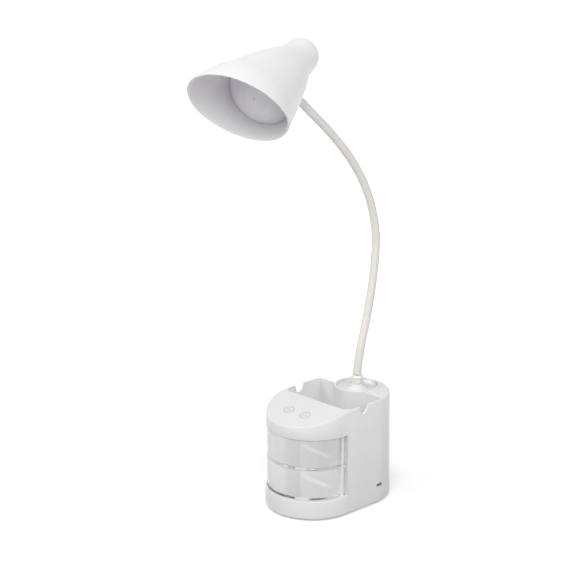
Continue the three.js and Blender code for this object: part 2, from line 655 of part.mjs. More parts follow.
function batteryCell() {
  const low = CELL_FLOOR + GAP;
  const top = low + CELL_LENGTH;
  const shoulder = top - CELL_BUTTON_RISE;
  return turned([
    [0, low], [CELL_RADIUS, low], [CELL_RADIUS, shoulder],
    [CELL_BUTTON_RADIUS, shoulder], [CELL_BUTTON_RADIUS, top], [0, top],
  ], AROUND_SMALL, 0, COLUMN_Y);
}
add('battery_cell', batteryCell(), wrap);

// Clear drawers that swing out about one steel pin at the right
function drawer(low) {
  const high = low + DRAWER_HEIGHT;
  const back = BAY_BACK - DRAWER_BACK_GAP;
  const front = -BASE_REAR - OVERRUN;
  const far = BASE_REAR;
  const above = high + OVERRUN;
  const floor = low + DRAWER_FLOOR;
  const outer = rod(DRAWER_RADIUS, low, high, 0, -HALF_STRAIGHT, AROUND_DRAWER)
    .intersect(box(-far, far, front, back, low, high));
  const room = rod(DRAWER_RADIUS - DRAWER_WALL, floor, above, 0, -HALF_STRAIGHT, AROUND_DRAWER)
    .intersect(box(-far, far, front, back - DRAWER_WALL, floor, above));
  const barrel = rod(BARREL_RADIUS, low, high, BARREL_X, BARREL_Y);
  const corner = box(BARREL_X, far, BARREL_Y, 0, low - OVERRUN, above);
  const bore = rod(PIN_RADIUS + GAP, low - OVERRUN, above, BARREL_X, BARREL_Y);
  return cut(joined(cut(outer, corner, room), barrel), bore);
}
const lowerDrawer = BAY_LOW + DRAWER_GAP;
add('drawer_lower', drawer(lowerDrawer), clear);
add('drawer_upper', drawer(lowerDrawer + DRAWER_HEIGHT + DRAWER_GAP), clear);
const pin = rod(PIN_RADIUS, BAY_LOW - PIN_SEAT + GAP, BAY_HIGH + PIN_SEAT - GAP, BARREL_X, BARREL_Y);
add('hinge_pin', pin, steel);

// Dished cap in the column, with the neck's ferrule, threaded stud and nut
const capLow = SHELF_TOP + GAP;
const studBore = STUD_RADIUS + GAP;
const ferruleTop = HUB_TOP + GAP + FERRULE_HEIGHT;

function neckCap() {
  const dish = RIM_TOP - CAP_DISH;
  const shoulder = CAP_RADIUS - CAP_SHELF;
  return turned([
    [studBore, capLow], [CAP_RADIUS, capLow], [CAP_RADIUS, RIM_TOP - CAP_DISH / 3],
    [shoulder, RIM_TOP - CAP_DISH * DISH_SHOULDER_SHARE], [shoulder - CAP_SHELF, dish + GAP],
    [(CAP_RADIUS + CAP_HUB_RADIUS) / 2, dish], [CAP_HUB_RADIUS + CAP_SHELF, dish + GAP],
    [CAP_HUB_RADIUS, dish + CAP_DISH / 2], [CAP_HUB_RADIUS - CAP_SHELF / 2, HUB_TOP], [studBore, HUB_TOP],
  ], AROUND, 0, COLUMN_Y);
}
add('neck_cap', neckCap(), white);

function neckFerrule() {
  const low = HUB_TOP + GAP;
  const collar = ferruleTop - COLLAR_HEIGHT;
  return turned([
    [studBore, low], [FERRULE_RADIUS, low], [FERRULE_RADIUS, collar - GAP], [COLLAR_RADIUS, collar],
    [COLLAR_RADIUS, collar + 2 * GAP], [NECK_RADIUS + GAP, ferruleTop], [studBore, ferruleTop],
  ], AROUND_SMALL, 0, COLUMN_Y);
}
add('neck_ferrule', neckFerrule(), cream);
add('neck_stud', rod(STUD_RADIUS, HUB_TOP - STUD_DROP, ferruleTop, 0, COLUMN_Y), steel);

function neckNut() {
  const top = capLow - GAP;
  const low = top - NUT_HEIGHT;
  const blank = rod(NUT_FLATS / 2 / Math.cos(Math.PI / NUT_SIDES), low, top, 0, COLUMN_Y, NUT_SIDES);
  return cut(blank, rod(studBore, low - OVERRUN, top + OVERRUN, 0, COLUMN_Y));
}
add('neck_nut', neckNut(), steel);

// Neck: a steel core in a soft sleeve, in links whose ends meet in ball seats, all along one curve
const neckCurve = new THREE.CatmullRomCurve3(NECK_SHARES.map(([reach, rise]) => (
  new THREE.Vector3(0, COLUMN_Y - reach * NECK_REACH, HUB_TOP + rise * NECK_RISE))), false, 'centripetal');
neckCurve.arcLengthDivisions = NECK_DIVISIONS;
const NECK_LENGTH = neckCurve.getLength();

// Point and direction at a distance along the neck, straight on past its upper end
function neckPlace(distance) {
  const share = Math.min(Math.max(distance / NECK_LENGTH, 0), 1);
  const tangent = neckCurve.getTangentAt(share);
  const point = neckCurve.getPointAt(share);
  return { point: point.addScaledVector(tangent, distance - share * NECK_LENGTH), tangent };
}

// Turned profile of [radius, distance] points, bent along the neck
function alongNeck(profile, around = AROUND_NECK) {
  const points = profile.map(([radius, distance]) => new THREE.Vector2(radius, distance));
  const geometry = new THREE.LatheGeometry(points, around);
  geometry.rotateX(Math.PI / 2);
  const place = geometry.attributes.position;
  for (let i = 0; i < place.count; i += 1) {
    const { point, tangent } = neckPlace(place.getZ(i));
    const across = place.getY(i);
    point.y += across * tangent.z;
    point.z -= across * tangent.y;
    place.setXYZ(i, place.getX(i), point.y, point.z);
  }
  return geometry;
}

function linkRings(low, high) {
  const count = Math.max(1, Math.round((high - low) / NECK_STEP));
  return Array.from({ length: count + 1 }, (_, i) => low + (i / count) * (high - low));
}

// Height of a ball seat above its centre at a radius
function seat(ball, radius) {
  return Math.sqrt(Math.max(ball ** 2 - radius ** 2, 0));
}

// From one joint's centre to the next: the upper end is a ball, the lower one the socket round it,
// and an end where no link follows is flat
function sleeve(low, high, lowFlat, highFlat) {
  const socket = NECK_RADIUS + GAP;
  const middle = (NECK_RADIUS + NECK_BORE) / 2;
  const lowAt = (radius) => (lowFlat ? low : low + seat(socket, radius));
  const highAt = (radius) => (highFlat ? high : high + seat(NECK_RADIUS, radius));
  const outer = linkRings(lowAt(NECK_RADIUS), highAt(NECK_RADIUS)).map((at) => [NECK_RADIUS, at]);
  const inner = linkRings(lowAt(NECK_BORE), highAt(NECK_BORE)).reverse().map((at) => [NECK_BORE, at]);
  const profile = [...outer, [middle, highAt(middle)], ...inner, [middle, lowAt(middle)]];
  return solid(alongNeck([...profile, profile[0]]));
}

function core(low, high, lowFlat, highFlat) {
  const radius = NECK_BORE - GAP;
  const socket = NECK_RADIUS + GAP;
  const lowAt = (at) => (lowFlat ? low : low + seat(socket, at));
  const highAt = (at) => (highFlat ? high : high + seat(NECK_RADIUS, at));
  const rings = linkRings(lowAt(radius), highAt(radius)).map((at) => [radius, at]);
  const half = radius / 2;
  const profile = [[0, lowAt(0)], [half, lowAt(half)], ...rings, [half, highAt(half)], [0, highAt(0)]];
  return solid(alongNeck(profile, AROUND_NECK / 2));
}

function jointPlace(index) {
  const spacing = (NECK_LENGTH - NECK_FIRST_JOINT - NECK_LAST_JOINT) / NECK_LINKS;
  return NECK_FIRST_JOINT + index * spacing;
}

const neckStart = ferruleTop - HUB_TOP + GAP;
const neckEnd = NECK_LENGTH + NECK_INSIDE;
for (let i = 0; i <= NECK_LINKS + 1; i += 1) {
  const first = i === 0;
  const last = i === NECK_LINKS + 1;
  const low = first ? neckStart : jointPlace(i - 1);
  const high = last ? neckEnd : jointPlace(i);
  const part = first ? 'root' : last ? 'head' : String(i);
  add(`neck_sleeve_${part}`, sleeve(low, high, first, last), cream);
  add(`neck_core_${part}`, core(low, high, first, last), steel);
}

// Shade group: +Z of the group runs from the tail to the mouth, +Y is the shade's upper side
const shadeGroup = new THREE.Group();
shadeGroup.rotation.set(Math.PI / 2 + SHADE_PITCH, 0, SHADE_YAW, 'ZYX');
lamp.add(shadeGroup);

const outerCurve = new THREE.SplineCurve(SHADE_SHARES.map(([along, across]) => (
  new THREE.Vector2(across * SHADE_RADIUS, along * SHADE_LENGTH))));
const outerProfile = SHADE_STATION_SHARES.map((share) => outerCurve.getPoint(share));
const outerRadiusAtNeck = radiusAt(outerProfile, NECK_STATION);

// The neck's upper end lies on the shade's underside at the neck station
const shadeTurn = new THREE.Matrix4().makeRotationFromEuler(shadeGroup.rotation);
const neckTop = neckCurve.getPoint(1);
const neckTopInShade = new THREE.Vector3(0, -outerRadiusAtNeck, NECK_STATION).applyMatrix4(shadeTurn);
shadeGroup.position.copy(neckTop.clone().sub(neckTopInShade));
shadeGroup.updateMatrix();
const intoShade = shadeGroup.matrix.clone().invert();

function radiusAt(profile, station) {
  const above = profile.findIndex((point) => point.y > station);
  const low = profile[above - 1];
  const high = profile[above];
  return low.x + ((station - low.y) / (high.y - low.y)) * (high.x - low.x);
}

// Outline moved inward along its normals
function inward(profile, depth) {
  const moved = profile.map((point, i) => {
    const before = profile[Math.max(i - 1, 0)];
    const after = profile[Math.min(i + 1, profile.length - 1)];
    const run = after.clone().sub(before).normalize();
    return new THREE.Vector2(point.x - depth * run.y, point.y + depth * run.x);
  });
  moved[0].set(0, profile[0].y + depth);
  return moved.filter((point, i) => i === 0 || point.x > depth);
}

function profileOf(points) {
  return points.map((point) => [point.x, point.y]);
}

function mouthCutter() {
  const size = 4 * SHADE_RADIUS;
  const geometry = new THREE.BoxGeometry(size, size, size);
  geometry.translate(0, 0, size / 2);
  geometry.rotateX(MOUTH_TILT);
  geometry.translate(0, 0, MOUTH_STATION);
  return solid(geometry);
}

function neckInShade(radius, low, high) {
  const geometry = alongNeck([[0, low], [radius, low], [radius, high], [0, high]]);
  return solid(geometry.applyMatrix4(intoShade));
}

const innerProfile = inward(outerProfile, SHADE_WALL);
function shade() {
  const profile = [...profileOf(outerProfile), ...profileOf(innerProfile).reverse()];
  return cut(turned(profile, AROUND_SHADE), mouthCutter(),
    neckInShade(NECK_RADIUS + GAP, NECK_LENGTH - NECK_LAST_JOINT / 2, neckEnd + OVERRUN));
}
add('shade', shade(), white, shadeGroup);

// Bush that holds the neck's end inside the shade, fitted to the wall
function bush() {
  const room = inward(outerProfile, SHADE_WALL + GAP);
  const last = room[room.length - 1];
  const cavity = turned([...profileOf(room), [0, last.y]], AROUND_SHADE);
  const top = NECK_LENGTH + BUSH_HEIGHT;
  const ring = cut(neckInShade(BUSH_RADIUS, NECK_LENGTH - BUSH_RADIUS, top),
    neckInShade(NECK_RADIUS + GAP, NECK_LENGTH - 2 * BUSH_RADIUS, top + OVERRUN));
  return ring.intersect(cavity);
}
add('neck_bush', bush(), white, shadeGroup);

// Light unit: holder, LED board with chips and screws, and the domed diffuser
function seatRadius(station) {
  return radiusAt(innerProfile, station) - GAP;
}
const discTop = HOLDER_STATION + HOLDER_DISC;
const rimTop = HOLDER_STATION + HOLDER_RIM;
const diffuserRadius = seatRadius(discTop) - HOLDER_LIP - GAP;
const ledBoardRadius = diffuserRadius - DIFFUSER_WALL - LED_BOARD_CLEARANCE;

// Places spread evenly on a ring
function ringPlaces(count, radius, turn) {
  return Array.from({ length: count }, (_, i) => {
    const angle = ((i + turn) / count) * 2 * Math.PI;
    return [radius * Math.cos(angle), radius * Math.sin(angle)];
  });
}
const lightScrews = ringPlaces(LIGHT_SCREWS, ledBoardRadius - LIGHT_SCREW_INSET, 0.5);

function lightHolder() {
  const inside = diffuserRadius + GAP;
  const outside = [HOLDER_STATION, discTop, rimTop].map((station) => [seatRadius(station), station]);
  const body = turned([
    [HOLDER_HOLE, HOLDER_STATION], ...outside, [inside, rimTop - HOLDER_BEVEL], [inside, discTop],
    [HOLDER_HOLE, discTop],
  ], AROUND_SHADE);
  return cut(body, ...rodsAt(lightScrews, SCREW_SHANK, HOLDER_STATION - OVERRUN, discTop + OVERRUN));
}
add('light_holder', lightHolder(), white, shadeGroup);

const ledBoardLow = discTop + GAP;
const ledBoardTop = ledBoardLow + BOARD_THICKNESS;
const ledDisc = rod(ledBoardRadius, ledBoardLow, ledBoardTop, 0, 0, AROUND_SHADE);
const ledDiscHoles = rodsAt(lightScrews, SCREW_SHANK, HOLDER_STATION, ledBoardTop + OVERRUN);
add('led_board', cut(ledDisc, ...ledDiscHoles), boardWhite, shadeGroup);

ringPlaces(LED_COUNT, ledBoardRadius - LED_INSET, 0).forEach(([x, y], i) => {
  const half = LED_SIZE / 2;
  const low = ledBoardTop + GAP / 3;
  const chip = box(x - half, x + half, y - half, y + half, low, low + LED_HEIGHT);
  add(`led_${i + 1}`, chip, phosphor, shadeGroup);
});

lightScrews.forEach(([x, y], i) => {
  const top = ledBoardTop + GAP;
  add(`light_screw_${i + 1}`, screw(SCREW_SHANK - GAP, top, top - HOLDER_STATION, x, y), steel, shadeGroup);
});

// Spherical cap of a radius and a rise, from its rim to its crown, as [radius, height] points
function domeArc(radius, rise, station) {
  const ball = (radius ** 2 + rise ** 2) / (2 * rise);
  const half = Math.asin(radius / ball);
  return Array.from({ length: DOME_STEPS + 1 }, (_, i) => {
    const angle = half * (1 - i / DOME_STEPS);
    return [ball * Math.sin(angle), station + rise - ball * (1 - Math.cos(angle))];
  });
}

function diffuser() {
  const inside = diffuserRadius - DIFFUSER_WALL;
  const rim = ledBoardLow + DIFFUSER_SKIRT;
  const outerDome = domeArc(diffuserRadius, DIFFUSER_RISE, rim);
  const innerDome = domeArc(inside, DIFFUSER_RISE - DIFFUSER_WALL, rim).reverse();
  const skirt = [[inside, ledBoardLow], [diffuserRadius, ledBoardLow]];
  return turned([...skirt, ...outerDome, ...innerDome], AROUND_SHADE);
}
add('diffuser', diffuser(), milk, shadeGroup);

export default lamp;
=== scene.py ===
import bisect
import math

import bpy
from mathutils import Matrix, Vector


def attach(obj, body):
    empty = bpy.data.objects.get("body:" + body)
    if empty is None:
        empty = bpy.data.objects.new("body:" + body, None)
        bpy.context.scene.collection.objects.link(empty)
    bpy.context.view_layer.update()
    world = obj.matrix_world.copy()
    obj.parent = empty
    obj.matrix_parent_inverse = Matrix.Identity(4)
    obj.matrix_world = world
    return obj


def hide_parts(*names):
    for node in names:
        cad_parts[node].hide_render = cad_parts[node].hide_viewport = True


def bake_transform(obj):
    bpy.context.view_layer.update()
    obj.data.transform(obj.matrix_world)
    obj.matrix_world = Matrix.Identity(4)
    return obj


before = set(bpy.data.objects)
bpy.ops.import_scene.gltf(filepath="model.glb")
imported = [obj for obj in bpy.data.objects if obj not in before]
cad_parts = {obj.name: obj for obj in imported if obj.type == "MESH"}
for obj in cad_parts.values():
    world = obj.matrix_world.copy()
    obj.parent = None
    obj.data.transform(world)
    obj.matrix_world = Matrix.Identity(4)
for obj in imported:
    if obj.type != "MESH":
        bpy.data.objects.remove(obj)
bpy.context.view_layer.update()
scene = bpy.context.scene
MM = 0.001

# ---- Studio
# Pale flat floor, a white room that only the camera, gloss and glass see at full strength, and large
# soft lamps above, in front and at the sides, set so that a colour renders about as it is written.


class Value:
    """A socket of a material under work: arithmetic on it adds Math nodes."""

    def __init__(self, finish, socket):
        self.finish = finish
        self.socket = socket

    def math(self, operation, *others):
        inputs = dict(enumerate((self, *others)))
        return self.finish.node("Math", {"operation": operation}, inputs)

    def __add__(self, other):
        return self.math("ADD", other)

    def __mul__(self, other):
        return self.math("MULTIPLY", other)

    def __sub__(self, other):
        return self.math("SUBTRACT", other)

    def __rsub__(self, other):
        return self * -1 + other

    __rmul__ = __mul__


class Finish:
    """A node material, or the world, made node by node."""

    def __init__(self, name, owner=None):
        self.owner = owner or bpy.data.materials.new(name)
        self.owner.use_nodes = True
        self.tree = self.owner.node_tree
        self.tree.nodes.clear()

    def node(self, kind, settings=None, inputs=None, output=0):
        """Adds a node: its settings first, then the values or links of its sockets."""
        node = self.tree.nodes.new("ShaderNode" + kind)
        for key, value in (settings or {}).items():
            setattr(node, key, value)
        for key, value in (inputs or {}).items():
            if isinstance(value, Value):
                self.tree.links.new(value.socket, node.inputs[key])
            else:
                node.inputs[key].default_value = value
        return Value(self, node.outputs[output]) if node.outputs else self.owner

    def place(self):
        """Where a point is on the lamp at rest, in metres."""
        return self.node("TexCoord", output=3)

    def noise(self, scale, detail=2.0, vector=None):
        inputs = {"Scale": scale, "Detail": detail, "Vector": vector or self.place()}
        return self.node("TexNoise", {}, inputs)

    def range(self, value, low, high, from_low=0.0, from_high=1.0):
        """Maps from_low to from_high onto low to high, and holds the ends beyond them."""
        inputs = {0: value, 1: from_low, 2: from_high, 3: low, 4: high}
        return self.node("MapRange", {"clamp": True}, inputs)

    def mix(self, share, first, second):
        colours = [c if isinstance(c, Value) else (*c, 1.0) for c in (first, second)]
        return self.node("Mix", {"data_type": "RGBA"}, {0: share, 6: colours[0], 7: colours[1]}, 2)

    def bump(self, height, distance, strength):
        return self.node("Bump", {}, {"Height": height, "Distance": distance, "Strength": strength})

    def end(self, shader, kind="Material"):
        return self.node("Output" + kind, {}, {"Surface": shader})

    def principled(self, **inputs):
        return self.node("BsdfPrincipled", {}, {k.replace("_", " "): v for k, v in inputs.items()})


def rays_of(finish, *kinds):
    """1 for rays of these kinds, 0 for the others."""
    first, *others = [finish.node("LightPath", output=f"Is {kind} Ray") for kind in kinds]
    for other in others:
        first = first.math("MAXIMUM", other)
    return first


SEEN_RAYS = ("Camera", "Glossy", "Transmission")
FILL = 0.22
FILL_TINT = (0.9, 0.885, 1.0)
world = bpy.data.worlds.new("studio_world")
scene.world = world
sky = Finish("studio_world", world)
shine = sky.mix(rays_of(sky, *SEEN_RAYS), [FILL * c for c in FILL_TINT], (1, 1, 1))
sky.end(sky.node("Background", {}, {"Color": shine, "Strength": 1.0}), "World")

# Close to the lamp the floor sends less light back up than further out, and it glows less.
FLOOR_HALF = 6.0
BOUNCE_TINT = (0.98, 0.96, 1.0)
BOUNCE_SHARES = (0.5, 0.66)
BOUNCE_START, BOUNCE_STOP = 0.08, 0.35
GLOW_NEAR, GLOW_FAR = 0.3, 1.0
GLOW_START, GLOW_STOP = 0.12, 0.9
corners = [(-FLOOR_HALF, -FLOOR_HALF, 0), (FLOOR_HALF, -FLOOR_HALF, 0),
           (FLOOR_HALF, FLOOR_HALF, 0), (-FLOOR_HALF, FLOOR_HALF, 0)]
mesh = bpy.data.meshes.new("studio_floor")
mesh.from_pydata(corners, [], [(0, 1, 2, 3)])
floor = bpy.data.objects.new("studio_floor", mesh)
scene.collection.objects.link(floor)
paper = Finish("pale_paper")
grain = paper.mix(paper.noise(900.0), (0.93, 0.93, 0.93), (0.95, 0.95, 0.95))
away = paper.node("VectorMath", {"operation": "LENGTH"}, {0: paper.place()}, 1)
near, far = ([share * c for c in BOUNCE_TINT] for share in BOUNCE_SHARES)
bounced = paper.mix(paper.range(away, 0, 1, BOUNCE_START, BOUNCE_STOP), near, far)
tone = paper.mix(rays_of(paper, "Diffuse"), grain, bounced)
glow = paper.range(away, GLOW_NEAR, GLOW_FAR, GLOW_START, GLOW_STOP) * rays_of(paper, *SEEN_RAYS)
mesh.materials.append(paper.end(paper.principled(
    Base_Color=tone, Roughness=0.9, Specular_IOR_Level=0.1,
    Emission_Color=paper.mix(glow, (0, 0, 0), (1, 1, 1)), Emission_Strength=1.0)))

# The point on the lamp that the soft lamps and the camera face.
AIM = Vector((20.43, -79.20, 241.72)) * MM
LAMP_TINT = (1.0, 0.995, 0.952)


def soft_lamp(name, place, size, power):
    light = bpy.data.lights.new(name, "AREA")
    light.shape = "DISK"
    light.size = size
    light.energy = power
    light.color = LAMP_TINT
    lamp = bpy.data.objects.new(name, light)
    lamp.location = place
    lamp.rotation_euler = (Vector(place) - AIM).to_track_quat("Z", "Y").to_euler()
    scene.collection.objects.link(lamp)


soft_lamp("lamp_above", place=(0.1, -0.2, 2.2), size=1.6, power=10.8)
soft_lamp("lamp_front_right", place=(1.2, -1.4, 1.6), size=1.2, power=23.2)
soft_lamp("lamp_front_left", place=(-1.1, -1.9, 1.5), size=1.2, power=18.0)
soft_lamp("lamp_left", place=(-1.8, -0.6, 1.2), size=1.2, power=1.8)
soft_lamp("lamp_right", place=(1.9, -0.2, 1.0), size=1.2, power=10.2)

# The picture was taken with a long lens from the front right, a little above the lamp.
LENS, SENSOR, SHIFT, NEAR_CLIP = 140.85, 36.0, -0.0008, 0.05
AZIMUTH = math.radians(45.30)
ELEVATION = math.radians(17.05)
DISTANCE = 2.07269
camera = bpy.data.objects.new("camera", bpy.data.cameras.new("camera"))
camera.data.lens = LENS
camera.data.sensor_width = SENSOR
camera.data.sensor_fit = "HORIZONTAL"
camera.data.clip_start = NEAR_CLIP
camera.data.shift_x = SHIFT
toward = Vector((math.sin(AZIMUTH) * math.cos(ELEVATION), -math.cos(AZIMUTH) * math.cos(ELEVATION),
                 math.sin(ELEVATION)))
camera.location = AIM + toward * DISTANCE
camera.rotation_euler = toward.to_track_quat("Z", "Y").to_euler()
scene.collection.objects.link(camera)
scene.camera = camera
scene.view_settings.view_transform = "Standard"

# ---- Housing
# One injection-moulded shell of glossy white ABS: foot ring, slanted touch deck, pen cup with two
# phone notches, drawer bay, column for the neck and charging mouth. Its edges are rounded by the mould.


def white_plastic(name, tint=(0.84, 0.837, 0.846), shine=0.3, pin_mark=None):
    """Faintly cloudy plastic with a fine skin and, if asked, one small grey mark of a mould pin."""
    mark_core, mark_edge = 0.5 * MM, 1.1 * MM
    finish = Finish(name)
    cloud = finish.noise(14.0, 3.0)
    base = finish.mix(finish.range(cloud, 0, 1, 0.35, 0.65), [c * 0.985 for c in tint],
                      [min(c * 1.008, 1.0) for c in tint])
    if pin_mark:
        away = finish.node("VectorMath", {"operation": "DISTANCE"}, {0: finish.place(), 1: pin_mark}, 1)
        base = finish.mix(finish.range(away, 0, 1, mark_core, mark_edge), [c * 0.62 for c in tint], base)
    rough = finish.range(finish.noise(60.0, 2.0), shine - 0.015, shine + 0.02, 0.3, 0.7)
    skin = finish.bump(finish.noise(230.0, 1.0), 0.000012, 0.5)
    return finish.end(finish.principled(Base_Color=base, Roughness=rough, Normal=skin))


def wear(material, *nodes):
    """Gives carried-over CAD nodes their finish."""
    for node in nodes:
        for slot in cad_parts[node].material_slots:
            slot.material = material


WHITE = white_plastic("white_plastic")
# Edges bent by more than this many degrees stay sharp in the shading.
SHARP = 28.0
# Cutters reach this far past the faces they cut, and this far out past every wall.
BEYOND, FAR = 6.0, 90.0


def body_from(name, points, faces, material, sharp=SHARP):
    """A closed mesh from points in mm, shaded smooth but for its real edges."""
    mesh = bpy.data.meshes.new(name)
    mesh.from_pydata([tuple(c * MM for c in point) for point in points], [], faces)
    mesh.materials.append(material)
    body = bpy.data.objects.new(name, mesh)
    scene.collection.objects.link(body)
    return polish(body, sharp)


def polish(body, sharp=SHARP):
    """Smooth shading that breaks at the real edges."""
    mesh = body.data
    mesh.polygons.foreach_set("use_smooth", [True] * len(mesh.polygons))
    mesh.set_sharp_from_angle(angle=math.radians(sharp))
    mesh.update()
    return body


def carve(body, cutter, operation="DIFFERENCE"):
    """Cuts with another body, or joins it on; the other body is then gone."""
    modifier = body.modifiers.new("carve", "BOOLEAN")
    modifier.operation = operation
    modifier.solver = "MANIFOLD"
    modifier.object = cutter
    bpy.context.view_layer.update()
    made = bpy.data.meshes.new_from_object(body.evaluated_get(bpy.context.evaluated_depsgraph_get()))
    body.modifiers.clear()
    old, name = body.data, body.data.name
    body.data = made
    bpy.data.meshes.remove(old)
    made.name = name
    bpy.data.meshes.remove(cutter.data)
    return body


def loft(name, rings, material=WHITE, strips=False):
    """A closed body through rings of equal count; its ends are flat, or strips across X."""
    count = len(rings[0])
    points = [point for ring in rings for point in ring]
    faces = []
    for step in range(len(rings) - 1):
        for i in range(count):
            here, after = step * count + i, step * count + (i + 1) % count
            faces.append((here, after, after + count, here + count))
    top = (len(rings) - 1) * count
    if strips:
        for i in range(count // 2):
            across = dict.fromkeys((i, (count - i) % count, count - i - 1, i + 1))
            faces.append(tuple(across))
            faces.append(tuple(top + k for k in reversed(across)))
    else:
        faces.append(tuple(reversed(range(count))))
        faces.append(tuple(range(top, top + count)))
    return body_from(name, points, faces, material)


def level(z):
    return lambda y: z


def flat_ring(outline, z):
    return [(x, y, z) for x, y in outline]


def prism(outline, low, high):
    return loft("cutter", [flat_ring(outline, z) for z in (low, high)])


def block(x0, x1, y0, y1, z0, z1):
    return prism([(x0, y0), (x1, y0), (x1, y1), (x0, y1)], z0, z1)


def turned(name, profile, material, x=0.0, y=0.0, around=120):
    """A turned body about a standing axis from [radius, height] points; it closes itself."""
    points, rows = [], []
    for radius, z in profile:
        start = len(points)
        count = around if radius > 0 else 1
        rows.append([start + i % count for i in range(around)])
        points += [(x + radius * math.cos(math.tau * i / around),
                    y + radius * math.sin(math.tau * i / around), z) for i in range(count)]
    faces = []
    pairs = list(zip(rows, rows[1:]))
    if profile[0][0] > 0:
        pairs.append((rows[-1], rows[0]))
    for low, high in pairs:
        for i in range(around):
            j = (i + 1) % around
            face = tuple(dict.fromkeys((low[i], low[j], high[j], high[i])))
            if len(face) > 2:
                faces.append(face)
    return body_from(name, points, faces, material)


def rod(radius, low, high, x, y, around=48):
    return turned("cutter", [(0, low), (radius, low), (radius, high), (0, high)], WHITE, x, y, around)


def rounding(radius, steps=5):
    """A quarter round as (inset, drop) from the side below it to the top beside it."""
    for i in range(steps + 1):
        angle = math.radians(90 * i / steps)
        yield radius * (1 - math.cos(angle)), radius * (1 - math.sin(angle))


HALF_STRAIGHT = 22.1
QUARTER = 36


def stadium(radius, z_at, stops=(), inset=None):
    """Ring of two half circles and straight sides, from the front tip round by +X."""
    turn = [math.radians(90 * i / QUARTER) for i in range(QUARTER + 1)]
    right = [(radius * math.sin(a), -HALF_STRAIGHT - radius * math.cos(a)) for a in turn]
    right += [(radius, y) for y in stops]
    right += [(radius * math.cos(a), HALF_STRAIGHT + radius * math.sin(a)) for a in turn]
    if inset:
        right = [drawn_in(x, y, radius, inset(y)) for x, y in right]
    left = [(-x, y) for x, y in reversed(right[1:-1])]
    return [(x, y, z_at(y)) for x, y in right + left]


def drawn_in(x, y, radius, depth):
    """A point of the stadium moved towards its middle line."""
    middle = max(-HALF_STRAIGHT, min(HALF_STRAIGHT, y))
    share = 1 - depth / radius
    return x * share, middle + (y - middle) * share


def stadium_slab(radius, low, high):
    return loft("cutter", [stadium(radius, level(z)) for z in (low, high)])


BASE_RADIUS, BASE_FLARE = 45.0, 0.8
BASE_LIFT, BASE_TOP = 0.6, 107.5
DECK_EDGE, DECK_SLOPE = -18.1, 0.262
FOOT_FILLET, TOP_FILLET, DECK_FILLET = 3.6, 1.5, 0.7
FILLET_BEFORE, FILLET_RUN = 6, 8


def deck(y):
    return BASE_TOP + min(y - DECK_EDGE, 0.0) * DECK_SLOPE


def edge_round(y):
    """Fillet of the upper edge: small round the deck, larger on top of the walls."""
    share = min(max((y - DECK_EDGE + FILLET_BEFORE) / FILLET_RUN, 0.0), 1.0)
    return DECK_FILLET + (TOP_FILLET - DECK_FILLET) * share * share * (3 - 2 * share)


def outer_block():
    """The full outside, with extra points along the sides where the deck and its fillet change."""
    stops = (DECK_EDGE - 2, DECK_EDGE, DECK_EDGE + 2, -9.0, 0.0, 9.0)
    rings = []
    for rise, inset in rounding(FOOT_FILLET, 7):
        rings.append(stadium(BASE_RADIUS + BASE_FLARE - inset, level(BASE_LIFT + rise), stops))
    for inset, drop in rounding(1.0, 6):
        rings.append(stadium(BASE_RADIUS, lambda y, d=drop: deck(y) - d * edge_round(y), stops,
                             lambda y, i=inset: i * edge_round(y)))
    return loft("housing_shell", rings, WHITE, strips=True)


def wall_radius(z):
    """Outer radius of the slightly flared walls at a height."""
    low, high = BASE_LIFT + FOOT_FILLET, BASE_TOP - TOP_FILLET
    return BASE_RADIUS + BASE_FLARE * (high - z) / (high - low)


def offset(outline, out):
    """Closed outline moved outward along its normals."""
    moved = []
    for i, (x, y) in enumerate(outline):
        (ax, ay), (bx, by) = outline[i - 1], outline[(i + 1) % len(outline)]
        run = math.hypot(bx - ax, by - ay)
        moved.append((x + out * (by - ay) / run, y - out * (bx - ax) / run))
    return moved


def arc(x, y, radius, start, stop, steps=12):
    turn = [math.radians(start + (stop - start) * i / steps) for i in range(steps + 1)]
    return [(x + radius * math.cos(a), y + radius * math.sin(a)) for a in turn]


WALL = 2.2
INSIDE = BASE_RADIUS - WALL
CUP_FLOOR = 28.2
CUP_REAR = 31.0
CUP_BACK = CUP_REAR + 1.8


def cup_room():
    """The pen cup, with rounded corners and floor and a softened lip."""
    front, rear = 9.0, 2.6
    right = arc(INSIDE - front, DECK_EDGE + front, front, -90, 0)
    right += [(INSIDE, y) for y in (0.0, 10.0, 20.0)]
    right += arc(INSIDE - rear, CUP_REAR - rear, rear, 0, 90, 8)
    outline = []
    for x, y in right:
        reach = math.sqrt(INSIDE ** 2 - max(y - HALF_STRAIGHT, 0.0) ** 2)
        outline.append((min(x, reach), y))
    outline += [(-x, y) for x, y in reversed(outline)]
    floor, lip = 2.4, 0.5
    rings = [flat_ring(offset(outline, -inset), CUP_FLOOR + rise) for rise, inset in rounding(floor, 6)]
    rings += [flat_ring(offset(outline, out), BASE_TOP - drop) for out, drop in rounding(lip, 4)]
    rings.append(flat_ring(offset(outline, lip), BASE_TOP + BEYOND))
    return loft("cutter", rings)


BAY_LOW, BAY_HIGH = 20.3, 82.9
BAY_BACK, BAY_EDGE, BAY_PROUD = -20.3, 0.7, 0.02
BARREL_X, BARREL_Y, BARREL_RADIUS = 40.5, -23.2, 3.8
HINGE_BORE, PIN_LOW, PIN_HIGH = 1.8, 17.3, 85.9


